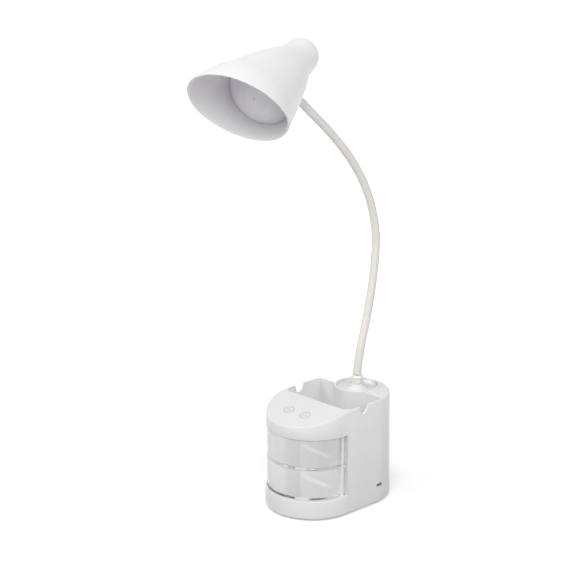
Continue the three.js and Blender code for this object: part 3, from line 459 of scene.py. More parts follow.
def bay_room():
    """Slab between the ring and the band; it widens at the outside, which rounds their edges."""
    steps = []
    for z, hand in ((BAY_LOW, -1), (BAY_HIGH, 1)):
        side = [(wall_radius(z) + BAY_PROUD - inset, z + hand * rise) for rise, inset in rounding(BAY_EDGE)]
        side.append((BASE_RADIUS + BEYOND, z + hand * BAY_EDGE))
        steps += side if hand < 0 else side[::-1]
    slab = loft("cutter", [stadium(radius, level(z)) for radius, z in steps])
    nook, recess = BARREL_X - 4.2, BAY_BACK + 1.4
    outline = [(-FAR, -FAR), (FAR, -FAR), (FAR, recess), (nook, recess), (nook, BAY_BACK), (-FAR, BAY_BACK)]
    return carve(slab, prism(outline, BAY_LOW - BEYOND, BAY_HIGH + BEYOND), "INTERSECT")


def cross_cutter(outline, flares):
    """A cutter along X from an outline in Y and Z; flares are (x, how much wider it is there)."""
    return loft("cutter", [[(x, y, z) for y, z in offset(outline, out)] for x, out in flares])


NOTCH_SHARES = [(0, 0), (0.03, 0.3), (0.086, 0.56), (0.138, 0.774), (0.241, 0.952), (0.345, 1),
                (0.466, 0.976), (0.621, 0.869), (0.776, 0.69), (0.897, 0.476), (0.957, 0.262), (1, 0)]
NOTCH_FRONT, NOTCH_REAR, NOTCH_DEPTH, NOTCH_LEAD = -2.2, 9.4, 8.4, 0.3
# How much wider the notch is at depths past a face of the wall.
NOTCH_FLARE = ((3, 0.4), (0.05, 0.4), (-0.1, 0.15), (-0.4, 0.0))


def notch(hand):
    """Phone notch through one side wall, +1 for the right and -1 for the left."""
    outline = [(NOTCH_REAR + NOTCH_LEAD, BASE_TOP + BEYOND), (NOTCH_FRONT - NOTCH_LEAD, BASE_TOP + BEYOND)]
    outline += [(NOTCH_FRONT + along * (NOTCH_REAR - NOTCH_FRONT), BASE_TOP - down * NOTCH_DEPTH)
                for along, down in NOTCH_SHARES]
    flares = [(INSIDE - past, out) for past, out in NOTCH_FLARE]
    flares += [(wall_radius(BASE_TOP) + past, out) for past, out in NOTCH_FLARE[::-1]]
    return cross_cutter(outline, [(x * hand, out) for x, out in flares[::hand]])


COLUMN_Y, COLUMN_RADIUS, COLUMN_FILLET = 40.7, 22.7, 0.7
RIM_TOP, SHELF_TOP, LEDGE_TOP = 109.0, 103.5, 94.0
CAP_RADIUS, GAP = 20.2, 0.3


def ledge_room():
    """Space over the lower step at the rear left."""
    side = -math.sqrt(BASE_RADIUS ** 2 - (CUP_BACK - HALF_STRAIGHT) ** 2)
    corner = 4.0
    outline = [(0, FAR), (-FAR, FAR), (-FAR, CUP_BACK - corner), (side, CUP_BACK - corner)]
    outline += arc(side + corner, CUP_BACK - corner, corner, 180, 90)[1:] + [(0, CUP_BACK)]
    return prism(outline, LEDGE_TOP, RIM_TOP + BEYOND)


def hollows():
    """Rooms that no one sees: behind the cup, in the foot and under the touch deck."""
    foot_top, chamber_low = BAY_LOW - WALL, BAY_HIGH - 4
    rear = block(WALL, FAR, CUP_BACK, FAR, foot_top, BASE_TOP - WALL)
    rear = carve(rear, block(-FAR, 2 * WALL, CUP_BACK, FAR, foot_top, LEDGE_TOP - WALL), "UNION")
    rear = carve(rear, stadium_slab(INSIDE, 0, BASE_TOP), "INTERSECT")
    yield carve(rear, rod(COLUMN_RADIUS, 0, RIM_TOP + BEYOND, 0, COLUMN_Y))
    yield stadium_slab(INSIDE, -BEYOND, foot_top)
    under_cup = block(-FAR, FAR, DECK_EDGE, FAR, -FAR, FAR)
    yield carve(stadium_slab(INSIDE, -BEYOND, CUP_FLOOR - WALL), under_cup, "INTERSECT")
    drop = WALL / math.cos(math.atan(DECK_SLOPE))
    outline = [(-FAR, chamber_low), (BAY_BACK, chamber_low), (BAY_BACK, deck(BAY_BACK) - drop),
               (-FAR, deck(-FAR) - drop)]
    chamber = cross_cutter(outline, [(-FAR, 0), (FAR, 0)])
    yield carve(chamber, stadium_slab(INSIDE, chamber_low - BEYOND, BASE_TOP), "INTERSECT")


PORT_Y, PORT_Z = 26.3, 19.1


def port():
    """Mouth over the charging socket, with a short lead-in at the face of the wall."""
    half, tall, corner = 4.2, 2.1, 1.0
    outline = arc(PORT_Y + half - corner, PORT_Z - tall + corner, corner, -90, 0, 4)
    outline += arc(PORT_Y + half - corner, PORT_Z + tall - corner, corner, 0, 90, 4)
    outline += [(2 * PORT_Y - y, z) for y, z in reversed(outline)]
    face = wall_radius(PORT_Z)
    flares = [(INSIDE - 2, 0), (face - 0.6, 0), (face - 0.2, 0.12), (face, 0.35), (face + 3, 0.6)]
    return cross_cutter(outline, flares)


BOSS_RADIUS, BOSS_TURN = 4.6, math.radians(32)
BOSS_LOW, BOSS_TOP_FRONT, BOSS_TOP_REAR = 3.7, 19.2, 27.1
PILOT_RADIUS, PILOT_TOP = 1.6, 10.7
LUG_RADIUS, LUG_LOW, LUG_HIGH, LUG_BACK = 4.5, 15.1, 88.1, 0.05


def boss_places():
    """The four posts that take the cover's screws."""
    reach = INSIDE + WALL / 4 - BOSS_RADIUS
    x, y = reach * math.cos(BOSS_TURN), HALF_STRAIGHT + reach * math.sin(BOSS_TURN)
    return [(-x, -y), (x, -y), (-x, y), (x, y)]


def column():
    profile = [(0, CUP_FLOOR - 1), (COLUMN_RADIUS, CUP_FLOOR - 1)]
    profile += [(COLUMN_RADIUS - inset, RIM_TOP - drop) for inset, drop in rounding(COLUMN_FILLET)]
    profile += [(0, RIM_TOP)]
    return turned("cutter", profile, WHITE, 0, COLUMN_Y, 128)


def column_room():
    """Bore for the cell, with the shelf that the neck's cap rests on."""
    tube, shelf, lip, floor = CAP_RADIUS + GAP, CAP_RADIUS - 2, 0.5, 22
    profile = [(0, floor), (tube, floor), (tube, SHELF_TOP - 2), (shelf, SHELF_TOP - 1),
               (shelf, SHELF_TOP), (tube, SHELF_TOP)]
    profile += [(tube + inset, RIM_TOP - drop) for inset, drop in rounding(lip)]
    profile += [(tube + lip, RIM_TOP + BEYOND), (0, RIM_TOP + BEYOND)]
    return turned("cutter", profile, WHITE, 0, COLUMN_Y, 128)


def housing():
    shell = outer_block()
    for cutter in (cup_room(), bay_room(), notch(-1), notch(1), ledge_room(), *hollows(), port()):
        carve(shell, cutter)
    carve(shell, column(), "UNION")
    for x, y in boss_places():
        carve(shell, rod(BOSS_RADIUS, BOSS_LOW, BOSS_TOP_REAR if y > 0 else BOSS_TOP_FRONT, x, y), "UNION")
    for low, high in ((LUG_LOW, BAY_LOW - LUG_BACK), (BAY_HIGH + LUG_BACK, LUG_HIGH)):
        carve(shell, rod(LUG_RADIUS, low, high, BARREL_X - WALL, BARREL_Y), "UNION")
    carve(shell, column_room())
    for x, y in boss_places():
        carve(shell, rod(PILOT_RADIUS, -1, PILOT_TOP, x, y, 24))
    carve(shell, rod(HINGE_BORE, PIN_LOW, PIN_HIGH, BARREL_X, BARREL_Y, 24))
    return polish(shell)


shell = housing()
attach(shell, "base")
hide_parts("housing")

# ---- Underside
# Screwed cover with its soft foot and the steel weight that keeps the lamp from tipping. Moulded
# plastic, die-cut rubber and sheet steel, held by four self-tapping screws.


def metal(name, tint, shine, grain=(60.0, 900.0, 900.0)):
    """Metal with fine drawn streaks along X."""
    finish = Finish(name)
    stretch = finish.node("Mapping", {}, {"Vector": finish.place(), "Scale": grain})
    streaks = finish.noise(1.0, 4.0, stretch)
    rough = finish.range(streaks, shine - 0.07, shine + 0.09, 0.3, 0.7)
    base = finish.mix(streaks, [c * 0.94 for c in tint], tint)
    return finish.end(finish.principled(Base_Color=base, Roughness=rough, Metallic=1.0,
                                        Normal=finish.bump(streaks, 0.000008, 0.5)))


def soft_rubber(name, tint):
    finish = Finish(name)
    grit = finish.noise(1400.0, 3.0)
    dust = finish.noise(45.0, 3.0)
    base = finish.mix(finish.range(dust, 0, 1, 0.4, 0.7), tint, [c * 1.12 for c in tint])
    return finish.end(finish.principled(Base_Color=base, Roughness=finish.range(grit, 0.72, 0.9, 0.3, 0.7),
                                        Normal=finish.bump(grit, 0.00006, 0.7)))


BRIGHT_STEEL = metal("bright_steel", (0.62, 0.62, 0.63), 0.25)
PLAIN_STEEL = metal("plain_steel", (0.42, 0.43, 0.45), 0.42, (40.0, 300.0, 300.0))
wear(white_plastic("cover_plastic", (0.8, 0.795, 0.8), 0.42), "bottom_cover")
wear(BRIGHT_STEEL, *(f"cover_screw_{i}" for i in range(1, 5)))
wear(soft_rubber("pad_rubber", (0.55, 0.545, 0.54)), "foot_pad")
wear(PLAIN_STEEL, "ballast_plate")

# ---- Charging board and battery
# Green glass-fibre board on the cover's posts, a stamped micro-USB socket behind the mouth in the
# wall, and a cylindrical cell standing in a plastic holder inside the column.


def circuit_board(name, tint):
    finish = Finish(name)
    lanes = finish.node("TexBrick", {"offset": 0.5}, {
        "Vector": finish.place(), "Scale": 160.0, "Mortar Size": 0.012, "Color1": (0, 0, 0, 1),
        "Color2": (0, 0, 0, 1), "Mortar": (1, 1, 1, 1)}, 1)
    weave = finish.noise(900.0, 2.0)
    mask = finish.mix(finish.range(weave, 0, 1, 0.3, 0.7), [c * 0.85 for c in tint], tint)
    traces = finish.mix(lanes, mask, [min(c * 1.7 + 0.02, 1) for c in tint])
    return finish.end(finish.principled(Base_Color=traces, Roughness=finish.range(weave, 0.3, 0.45),
                                        Normal=finish.bump(lanes, 0.00003, 0.6)))


def shrink_wrap(name, tint):
    finish = Finish(name)
    crease = finish.noise(60.0, 3.0, finish.node(
        "Mapping", {}, {"Vector": finish.place(), "Scale": (1.0, 1.0, 6.0)}))
    base = finish.mix(finish.range(crease, 0, 1, 0.35, 0.65), [c * 0.9 for c in tint], tint)
    return finish.end(finish.principled(Base_Color=base, Roughness=finish.range(crease, 0.25, 0.38),
                                        Normal=finish.bump(crease, 0.0001, 0.4)))


wear(circuit_board("green_board", (0.03, 0.16, 0.07)), "main_board", "touch_board")
wear(circuit_board("white_board", (0.8, 0.79, 0.76)), "led_board")
wear(BRIGHT_STEEL, "usb_socket", "board_screw_1", "board_screw_2", "touch_electrode_1", "touch_electrode_2")
wear(white_plastic("grey_plastic", (0.26, 0.265, 0.28), 0.5), "battery_holder")
wear(shrink_wrap("cell_wrap", (0.05, 0.16, 0.4)), "battery_cell")
wear(WHITE, "bay_ceiling")

# ---- Touch marks
# Two faint grey rings printed on the deck over the touch pads: one round a small sun for the
# brightness, one round a plain on and off sign. The ink stands a few hundredths of a millimetre high.


def printed_ink(name, tint):
    finish = Finish(name)
    mottle = finish.noise(2600.0, 2.0)
    base = finish.mix(finish.range(mottle, 0, 1, 0.3, 0.7), tint, [c * 1.15 for c in tint])
    return finish.end(finish.principled(Base_Color=base, Roughness=finish.range(mottle, 0.4, 0.55),
                                        Normal=finish.bump(mottle, 0.000004, 0.5)))


INK = printed_ink("grey_ink", (0.42, 0.41, 0.425))
TOUCH_X, TOUCH_Y = 11.0, -43.1
MARK_RADIUS, INK_RISE = 5.1, 0.05
# A ring stops a hair short of a full turn, so that its strip's ends don't meet.
FULL_RING = 359.9


def ring_bar(radius, width, start, stop, steps):
    """Flat arc as a strip of (inner, outer) points."""
    turn = [math.radians(start + (stop - start) * i / steps) for i in range(steps + 1)]
    return [((radius - width / 2) * math.cos(a), (radius - width / 2) * math.sin(a),
             (radius + width / 2) * math.cos(a), (radius + width / 2) * math.sin(a)) for a in turn]


def ray_bar(angle, near, far, width):
    a = math.radians(angle)
    side = (-math.sin(a) * width / 2, math.cos(a) * width / 2)
    return [(r * math.cos(a) - side[0], r * math.sin(a) - side[1],
             r * math.cos(a) + side[0], r * math.sin(a) + side[1]) for r in (near, far)]


def ink_mark(name, centre_x, strips):
    """Thin closed bars that lie in the slanted deck, half sunk in it."""
    points, faces = [], []
    tilt = math.atan(DECK_SLOPE)
    for strip in strips:
        start = len(points)
        for ax, ay, bx, by in strip:
            for x, y in ((ax, ay), (bx, by)):
                y_on = TOUCH_Y + y * math.cos(tilt)
                for rise in (-INK_RISE, INK_RISE):
                    points.append((centre_x + x, y_on - rise * math.sin(tilt),
                                   deck(y_on) + rise * math.cos(tilt)))
        count = len(strip)
        for i in range(count - 1):
            a, b = start + 4 * i, start + 4 * i + 4
            faces += [(a + 1, b + 1, b + 3, a + 3), (a, a + 2, b + 2, b),
                      (a, b, b + 1, a + 1), (a + 2, a + 3, b + 3, b + 2)]
        end = start + 4 * (count - 1)
        faces += [(start, start + 1, start + 3, start + 2), (end, end + 2, end + 3, end + 1)]
    mark = body_from(name, points, faces, INK)
    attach(mark, "base")


outer_ring = ring_bar(MARK_RADIUS, 0.7, 0, FULL_RING, 96)
sun = [ring_bar(1.15, 0.4, 0, FULL_RING, 32)] + [ray_bar(45 * i, 1.9, 2.9, 0.4) for i in range(8)]
power = [ring_bar(2.0, 0.45, 125, 415, 48), ray_bar(90, 0.6, 2.8, 0.45)]
ink_mark("touch_mark_dimmer", -TOUCH_X, [outer_ring, *sun])
ink_mark("touch_mark_switch", TOUCH_X, [outer_ring, *power])

# ---- Drawers
# Two D-shaped trays of clear styrene that swing out about one steel pin at the right. Injection moulded
# and faintly misted, with upright flow marks; a darker upright band, a near-white patch at the left,
# a soft slanting band of light and a white highlight at the floor's front are painted light and shade
# in the mist. The floor's edge and the barrel that the pin runs through stay clear.
DRAWER_HEIGHT, DRAWER_GAP, DRAWER_FLOOR = 30.55, 0.5, 2.2
DRAWER_PITCH = DRAWER_HEIGHT + DRAWER_GAP
# Places round the front, as turns in radians from straight ahead towards the right.
PAINTED_HIGHLIGHT_TURN, DARK_BAND_TURN = 0.52, 0.46
PAINTED_BEAM_TURN, PAINTED_BEAM_TOP, PAINTED_BEAM_SLOPE = 0.6, 25.5, 20.8
STYRENE_IOR, MIST_SHARE, MIST_OPEN = 1.49, 0.6, 0.25


def clear_plastic(name):
    """Faintly misted styrene with a painted soft band of light; the floor and the barrels stay clear and
    glint.
    """
    finish = Finish(name)
    wave = finish.noise(55.0, 2.0)
    x, y, z = (finish.node("SeparateXYZ", {}, {0: finish.place()}, axis) for axis in range(3))
    over_floor = (z - (BAY_LOW + DRAWER_GAP) * MM).math("MODULO", DRAWER_PITCH * MM)
    turn = x.math("ARCTAN2", -1 * y - HALF_STRAIGHT * MM)
    above = finish.range(over_floor, 0, 1, (DRAWER_FLOOR + 0.4) * MM, (DRAWER_FLOOR + 1.0) * MM)
    # Painted highlight: a near-white patch at the floor's edge on the front, standing in for a lamp's glint.
    # It also thickens the mist there.
    painted_highlight = finish.range((turn - PAINTED_HIGHLIGHT_TURN).math("ABSOLUTE"), 1, 0, 0.1, 0.17) * (1 - above)
    barrel = finish.node("VectorMath", {"operation": "DISTANCE"}, {
        0: finish.node("CombineXYZ", {}, {0: x, 1: y}), 1: (BARREL_X * MM, BARREL_Y * MM, 0)}, 1)
    misted = above * finish.range(barrel, 0, 1, 5.0 * MM, 7.0 * MM) + painted_highlight * 1.5
    rough = finish.range(finish.noise(220.0, 3.0), 0.02, 0.06, 0.3, 0.7)
    tone = finish.mix(wave, (0.965, 0.972, 0.975), (0.98, 0.985, 0.985))
    ripple = finish.bump(wave, 0.00004, 0.5)
    glass = finish.principled(Base_Color=tone, Roughness=rough, IOR=STYRENE_IOR, Transmission_Weight=1.0,
                              Normal=ripple)
    upright = finish.node("Mapping", {}, {"Vector": finish.place(), "Scale": (1.0, 1.0, 0.04)})
    flow = finish.range(finish.noise(48.0, 1.0, upright), 0, 1, 0.35, 0.65)
    flow_marks_and_painted_band = finish.mix(flow, (0.78, 0.78, 0.79), (0.85, 0.85, 0.855))
    # Painted reflection: a darker upright band in the mist at this turn round the front.
    painted_dark_band = finish.range((turn - DARK_BAND_TURN).math("ABSOLUTE"), 0.45, 1, 0.01, 0.09)
    flow_marks_and_painted_band = finish.mix(painted_dark_band, (0.70, 0.70, 0.715), flow_marks_and_painted_band)
    # Painted light: the mist turns near white towards the left of the front.
    milky = finish.mix(finish.range(turn, 0, 1, 0.22, 0.05), flow_marks_and_painted_band, (0.99, 0.99, 0.99))
    # Painted light: a soft slanting band of light across each tray's front, near white.
    drop = (over_floor * 1000.0 + (turn - PAINTED_BEAM_TURN) * PAINTED_BEAM_SLOPE - PAINTED_BEAM_TOP).math("ABSOLUTE")
    painted_beam = finish.range(drop, 0.9, 0, 0.8, 3.2)
    painted_beam = painted_beam * finish.range(turn, 0, 1, PAINTED_BEAM_TURN - 0.1, PAINTED_BEAM_TURN + 0.1)
    painted_beam = painted_beam * finish.range(turn, 1, 0, PAINTED_BEAM_TURN + 0.45, PAINTED_BEAM_TURN + 0.65)
    milky = finish.mix(painted_beam, milky, (1.0, 0.995, 0.985))
    # The painted highlight turns the mist near white.
    milky = finish.mix(painted_highlight, milky, (1.0, 1.0, 0.995))
    mist = finish.principled(Base_Color=milky, Roughness=rough, IOR=STYRENE_IOR, Transmission_Weight=0.2,
                             Normal=ripple)
    body = finish.node("MixShader", {}, {0: misted * MIST_SHARE, 1: glass, 2: mist})
    open_way = finish.node("BsdfTransparent", {}, {"Color": (0.98, 0.98, 0.98, 1.0)})
    clearness = rays_of(finish, "Shadow", "Diffuse").math("MAXIMUM", misted * MIST_OPEN)
    return finish.end(finish.node("MixShader", {}, {0: clearness, 1: body, 2: open_way}))


CLEAR = clear_plastic("clear_plastic")
DRAWER_RADIUS, DRAWER_WALL = 44.3, 1.9
DRAWER_BACK = BAY_BACK - 0.6
BARREL_CLEAR = 4.4


def half_disc(radius, back, steps=90):
    """D-shaped outline: the front arc and a straight back."""
    reach = math.degrees(math.asin((back + HALF_STRAIGHT) / radius))
    return arc(0, -HALF_STRAIGHT, radius, -180 - reach, reach, steps)


def drawer_outline():
    """The D with the barrel's round in its right rear corner."""
    outline = half_disc(DRAWER_RADIUS, DRAWER_BACK)
    outline = [(x, y) for x, y in outline if not (x > BARREL_X and y > BARREL_Y)]
    return outline + arc(BARREL_X, BARREL_Y, BARREL_RADIUS, 0, 90, 10)[1:]


def drawer(name, low):
    """A tray with a round bead along its foot, a slight waist over it and a filleted floor."""
    high = low + DRAWER_HEIGHT
    edge, bead, waist, fillet = 0.45, 1.1, 0.66, 1.2
    outline = drawer_outline()
    rings = []
    for i in range(9):
        angle = math.radians(180 * i / 8)
        inset = (bead if i < 5 else waist) * (1 - math.sin(angle))
        rings.append(flat_ring(offset(outline, -inset), low + bead * (1 - math.cos(angle))))
    rings.append(flat_ring(offset(outline, -waist), low + 3.4))
    rings.append(flat_ring(offset(outline, -waist / 2), low + 4.4))
    rings += [flat_ring(offset(outline, -inset), high - drop) for inset, drop in rounding(edge, 3)]
    tray = loft(name, rings, CLEAR)
    room = half_disc(DRAWER_RADIUS - DRAWER_WALL, DRAWER_BACK - DRAWER_WALL)
    room = [(x, y) for x, y in room if math.hypot(x - BARREL_X, y - BARREL_Y) > BARREL_CLEAR]
    rings = [flat_ring(offset(room, -inset), low + DRAWER_FLOOR + rise) for rise, inset in rounding(fillet)]
    rings.append(flat_ring(room, high + BEYOND))
    carve(tray, loft("cutter", rings))
    carve(tray, rod(HINGE_BORE, low - BEYOND, high + BEYOND, BARREL_X, BARREL_Y, 32))
    polish(tray)
    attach(tray, name.replace("tray", "drawer"))
    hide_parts(name.replace("tray", "drawer"))


drawer("tray_lower", BAY_LOW + DRAWER_GAP)
drawer("tray_upper", BAY_LOW + DRAWER_GAP + DRAWER_PITCH)
wear(BRIGHT_STEEL, "hinge_pin")

# ---- Neck foot
# Dished cap let into the column, with a small hub that carries the neck's ferrule; under it a
# threaded steel stud and a nut clamp the neck to the cap. The cap is moulded in satin white plastic,
# painted a little darker and bluer than the housing for the shade in its recess.
CAP_PROFILE = [
    (3.9, 103.8), (20.2, 103.8), (20.2, 106.6), (20.1, 106.8), (19.8, 106.85), (19.4, 106.5),
    (18.9, 106.0), (18.4, 105.7), (17.8, 105.5), (17.1, 105.4), (16.0, 105.36), (11.5, 105.36),
    (10.4, 105.42), (9.6, 105.6), (8.9, 105.9), (8.2, 106.4), (7.5, 107.2), (6.9, 108.3),
    (6.5, 109.4), (6.2, 110.1), (5.7, 110.4), (3.9, 110.4),
]
# Painted shade: the cap's white is a little darker and bluer than the housing's, for the shade in its
# recess.
SATIN_PAINTED_SHADE = white_plastic("satin_plastic_painted_shade", (0.80, 0.795, 0.815), 0.6)
cap = turned("neck_cap_dish", CAP_PROFILE, SATIN_PAINTED_SHADE, 0, COLUMN_Y, 128)
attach(cap, "base")
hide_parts("neck_cap")


def cream_rubber(name, tint=(0.785, 0.765, 0.722)):
    """Smooth silicone, a little uneven in colour, with a fine dry grain."""
    finish = Finish(name)
    cloud = finish.range(finish.noise(30.0, 3.0), 0, 1, 0.35, 0.65)
    grain = finish.noise(1100.0, 2.0)
    base = finish.mix(cloud, [c * 0.975 for c in tint], [c * 1.015 for c in tint])
    return finish.end(finish.principled(Base_Color=base, Roughness=finish.range(grain, 0.42, 0.58, 0.3, 0.7),
                                        Normal=finish.bump(grain, 0.00003, 0.5)))


CREAM = cream_rubber("cream_sleeve")
FERRULE_PROFILE = [
    (3.9, 110.7), (4.7, 110.7), (4.95, 110.85), (5.0, 111.1), (5.0, 115.7), (5.15, 116.0), (5.6, 116.2),
    (5.9, 116.45), (6.0, 116.75), (5.95, 117.1), (5.6, 117.6), (5.1, 118.3), (4.75, 118.9), (4.6, 119.3),
    (3.9, 119.3),
]
PALE = cream_rubber("pale_collar", (0.9, 0.885, 0.85))
ferrule = turned("neck_ferrule_ring", FERRULE_PROFILE, PALE, 0, COLUMN_Y, 48)
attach(ferrule, "base")
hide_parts("neck_ferrule")
wear(BRIGHT_STEEL, "neck_stud", "neck_nut")

# ---- Neck
# Bendable steel core in a smooth cream silicone sleeve. The sleeve is one tube on the real lamp; here
# it is six lengths laid along the neck's line that meet halfway between the joints.
NECK_RISE, NECK_REACH, HUB_TOP = 308.9, 94.3, 110.4
# The neck's line as shares of its reach to the front and of its rise over the hub.
NECK_SHARES = [(0, 0), (0, 0.035), (-0.043, 0.108), (-0.134, 0.209), (-0.21, 0.31), (-0.256, 0.412),
               (-0.256, 0.485), (-0.189, 0.573), (-0.066, 0.657), (0.129, 0.744), (0.401, 0.834),
               (0.723, 0.924), (1, 1)]


def cubic(p1, p2, v1, v2, t):
    """Point at t on the curve from p1 to p2 that leaves at the pace v1 and arrives at v2."""
    return p1 + v1 * t + (3 * (p2 - p1) - 2 * v1 - v2) * t ** 2 + (2 * (p1 - p2) + v1 + v2) * t ** 3


def neck_line(steps=240):
    """Dense points of the neck's smooth line, paced by the square roots of its chords."""
    stops = [Vector((0, COLUMN_Y - reach * NECK_REACH, HUB_TOP + rise * NECK_RISE))
             for reach, rise in NECK_SHARES]
    stops = [2 * stops[0] - stops[1], *stops, 2 * stops[-1] - stops[-2]]
    line = []
    for p0, p1, p2, p3 in zip(stops, stops[1:], stops[2:], stops[3:]):
        d0, d1, d2 = (math.sqrt((b - a).length) for a, b in ((p0, p1), (p1, p2), (p2, p3)))
        t1 = ((p1 - p0) / d0 - (p2 - p0) / (d0 + d1) + (p2 - p1) / d1) * d1
        t2 = ((p2 - p1) / d1 - (p3 - p1) / (d1 + d2) + (p3 - p2) / d2) * d1
        line += [cubic(p1, p2, t1, t2, i / steps) for i in range(steps)]
    return line + [stops[-2]]


LINE = neck_line()
ALONG = [0.0]
for a, b in zip(LINE, LINE[1:]):
    ALONG.append(ALONG[-1] + (b - a).length)
NECK_LENGTH = ALONG[-1]


def neck_place(distance):
    """Point and direction along the neck, straight on past its upper end."""
    at = min(max(bisect.bisect(ALONG, distance) - 1, 0), len(LINE) - 2)
    run = (LINE[at + 1] - LINE[at]).normalized()
    return LINE[at] + run * (distance - ALONG[at]), run


SLEEVE_RADIUS = 4.2


def sleeve_length(name, start, stop, around=40, step=2.0):
    """Round length of the sleeve between two distances along the neck."""
    count = round((stop - start) / step)
    rings = []
    for i in range(count + 1):
        point, run = neck_place(start + (stop - start) * i / count)
        across = Vector((0, run.z, -run.y))
        turns = [math.tau * k / around for k in range(around)]
        rings.append([tuple(point + SLEEVE_RADIUS * (math.cos(a) * Vector((1, 0, 0)) - math.sin(a) * across))
                      for a in turns])
    return loft(name, rings, CREAM)


# Distances along the neck: to the first joint, from the last one to the shade, and on inside it; then
# where the sleeve leaves the ferrule, and how far each way a bend would be spread, which is worked
# out below but not used.
NECK_FIRST, NECK_LAST, NECK_INSIDE = 24.0, 16.0, 13.0
SLEEVE_START = 9.2
BEND_REACH, BEND_REACH_FOOT, BEND_REACH_HEAD = 24, 16, 14
LINKS = ["base", "neck_1", "neck_2", "neck_3", "neck_4", "neck_5", "head"]
SPACING = (NECK_LENGTH - NECK_FIRST - NECK_LAST) / (len(LINKS) - 2)
PARTS = ["root", "1", "2", "3", "4", "5", "head"]
for i, (below, above) in enumerate(zip(LINKS, LINKS[1:])):
    joint = NECK_FIRST + i * SPACING
    first, last = i == 0, i == len(LINKS) - 2
    start = SLEEVE_START if first else joint - SPACING / 2
    stop = NECK_LENGTH + NECK_INSIDE if last else joint + SPACING / 2
    reach_back = BEND_REACH_FOOT if first else BEND_REACH
    reach_on = BEND_REACH_HEAD if last else BEND_REACH
    length = sleeve_length(f"sleeve_length_{i + 1}", start, stop)
    neck_place(joint - reach_back)[0] * MM
    neck_place(joint + reach_on)[0] * MM
    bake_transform(length)
    replaced = ["neck_sleeve_" + PARTS[i + 1]] + (["neck_sleeve_root"] if first else [])
    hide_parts(*replaced)
wear(PLAIN_STEEL, *("neck_core_" + part for part in PARTS))

# ---- Shade
# Bell of white ABS, moulded in one with its rounded tail, with a slanted mouth and one small pin mark
# on its inner wall. Its underside has a hole for the neck, which a bush holds from within.
SHADE_LENGTH, SHADE_RADIUS, SHADE_WALL = 172.0, 50.5, 2.0
SHADE_YAW, SHADE_PITCH = math.radians(18.6), math.radians(13.3)
MOUTH_STATION, MOUTH_TILT, MOUTH_TRIM = 0.8 * SHADE_LENGTH, math.radians(32), 1.35
NECK_STATION, NECK_SEAT, NECK_BORE = 0.2445 * SHADE_LENGTH, 21.77, 4.55
# The bell's outline as shares of its length from the tail's tip and of its radius.
SHADE_SHARES = [(0, 0), (0.008, 0.191), (0.033, 0.297), (0.076, 0.349), (0.124, 0.364), (0.179, 0.389),
                (0.234, 0.435), (0.302, 0.511), (0.384, 0.598), (0.481, 0.678), (0.585, 0.76),
                (0.687, 0.84), (0.81, 0.94), (1, 1)]


def shade_point(t):
    """(station, radius) on the bell's outline, t from the tail's tip to the mouth."""
    stops = [SHADE_SHARES[0], *SHADE_SHARES, SHADE_SHARES[-1]]
    t *= len(SHADE_SHARES) - 1
    at = min(int(t), len(SHADE_SHARES) - 2)
    t -= at
    out = []
    for k, scale in ((0, SHADE_LENGTH), (1, SHADE_RADIUS)):
        p0, p1, p2, p3 = (stops[at + j][k] * scale for j in range(4))
        out.append(cubic(p1, p2, (p2 - p0) / 2, (p3 - p1) / 2, t))
    return out


OUTLINE_STEPS = 400
BELL = [shade_point(i / OUTLINE_STEPS) for i in range(OUTLINE_STEPS + 1)]


def radius_at(line, station):
    """Radius of an outline at a station."""
    at = min(max(bisect.bisect(line, station, key=lambda point: point[0]), 1), len(line) - 1)
    (s0, r0), (s1, r1) = line[at - 1], line[at]
    return r0 + (r1 - r0) * (station - s0) / (s1 - s0)


def moved_in(line, depth):
    """The outline moved in along its normals, without the points that fold over at the tip."""
    moved = []
    for i, (s, r) in enumerate(line):
        (s0, r0), (s1, r1) = line[max(i - 1, 0)], line[min(i + 1, len(line) - 1)]
        run = math.hypot(s1 - s0, r1 - r0)
        moved.append((s + depth * (r1 - r0) / run, r - depth * (s1 - s0) / run))
    kept = [(depth, 0.0)]
    for s, r in moved:
        if r > kept[-1][1] * 0.2 + 0.3 and s > kept[-1][0]:
            kept.append((s, r))
    return kept


INNER = moved_in(BELL, SHADE_WALL)


def mouth_station(line, angle):
    """Where an outline meets the slanted mouth, less the trim for the lip, at an angle about the axis."""
    for s, r in line:
        if s > MOUTH_STATION + r * math.sin(angle) * math.tan(MOUTH_TILT) - MOUTH_TRIM:
            return s
    return line[-1][0]


HEAD_TURN = Matrix.Rotation(SHADE_YAW, 3, "Z") @ Matrix.Rotation(math.pi / 2 + SHADE_PITCH, 3, "X")
NECK_TOP = neck_place(NECK_LENGTH)[0]
HEAD_AT = NECK_TOP - HEAD_TURN @ Vector((0, -NECK_SEAT, NECK_STATION))


def to_head(body):
    """Moves a body built about the bell's axis to its place on the lamp."""
    turn = HEAD_TURN.to_4x4()
    turn.translation = HEAD_AT * MM
    body.data.transform(turn)
    body.data.update()
    return body


def sample(line, start, stop, count, crowding=1.5):
    """Points spread along an outline between two stations, denser towards the tail."""
    stations = [start + (stop - start) * (i / count) ** crowding for i in range(1, count + 1)]
    return [(station, radius_at(line, station)) for station in stations]


BELL_SHARP = 40.0


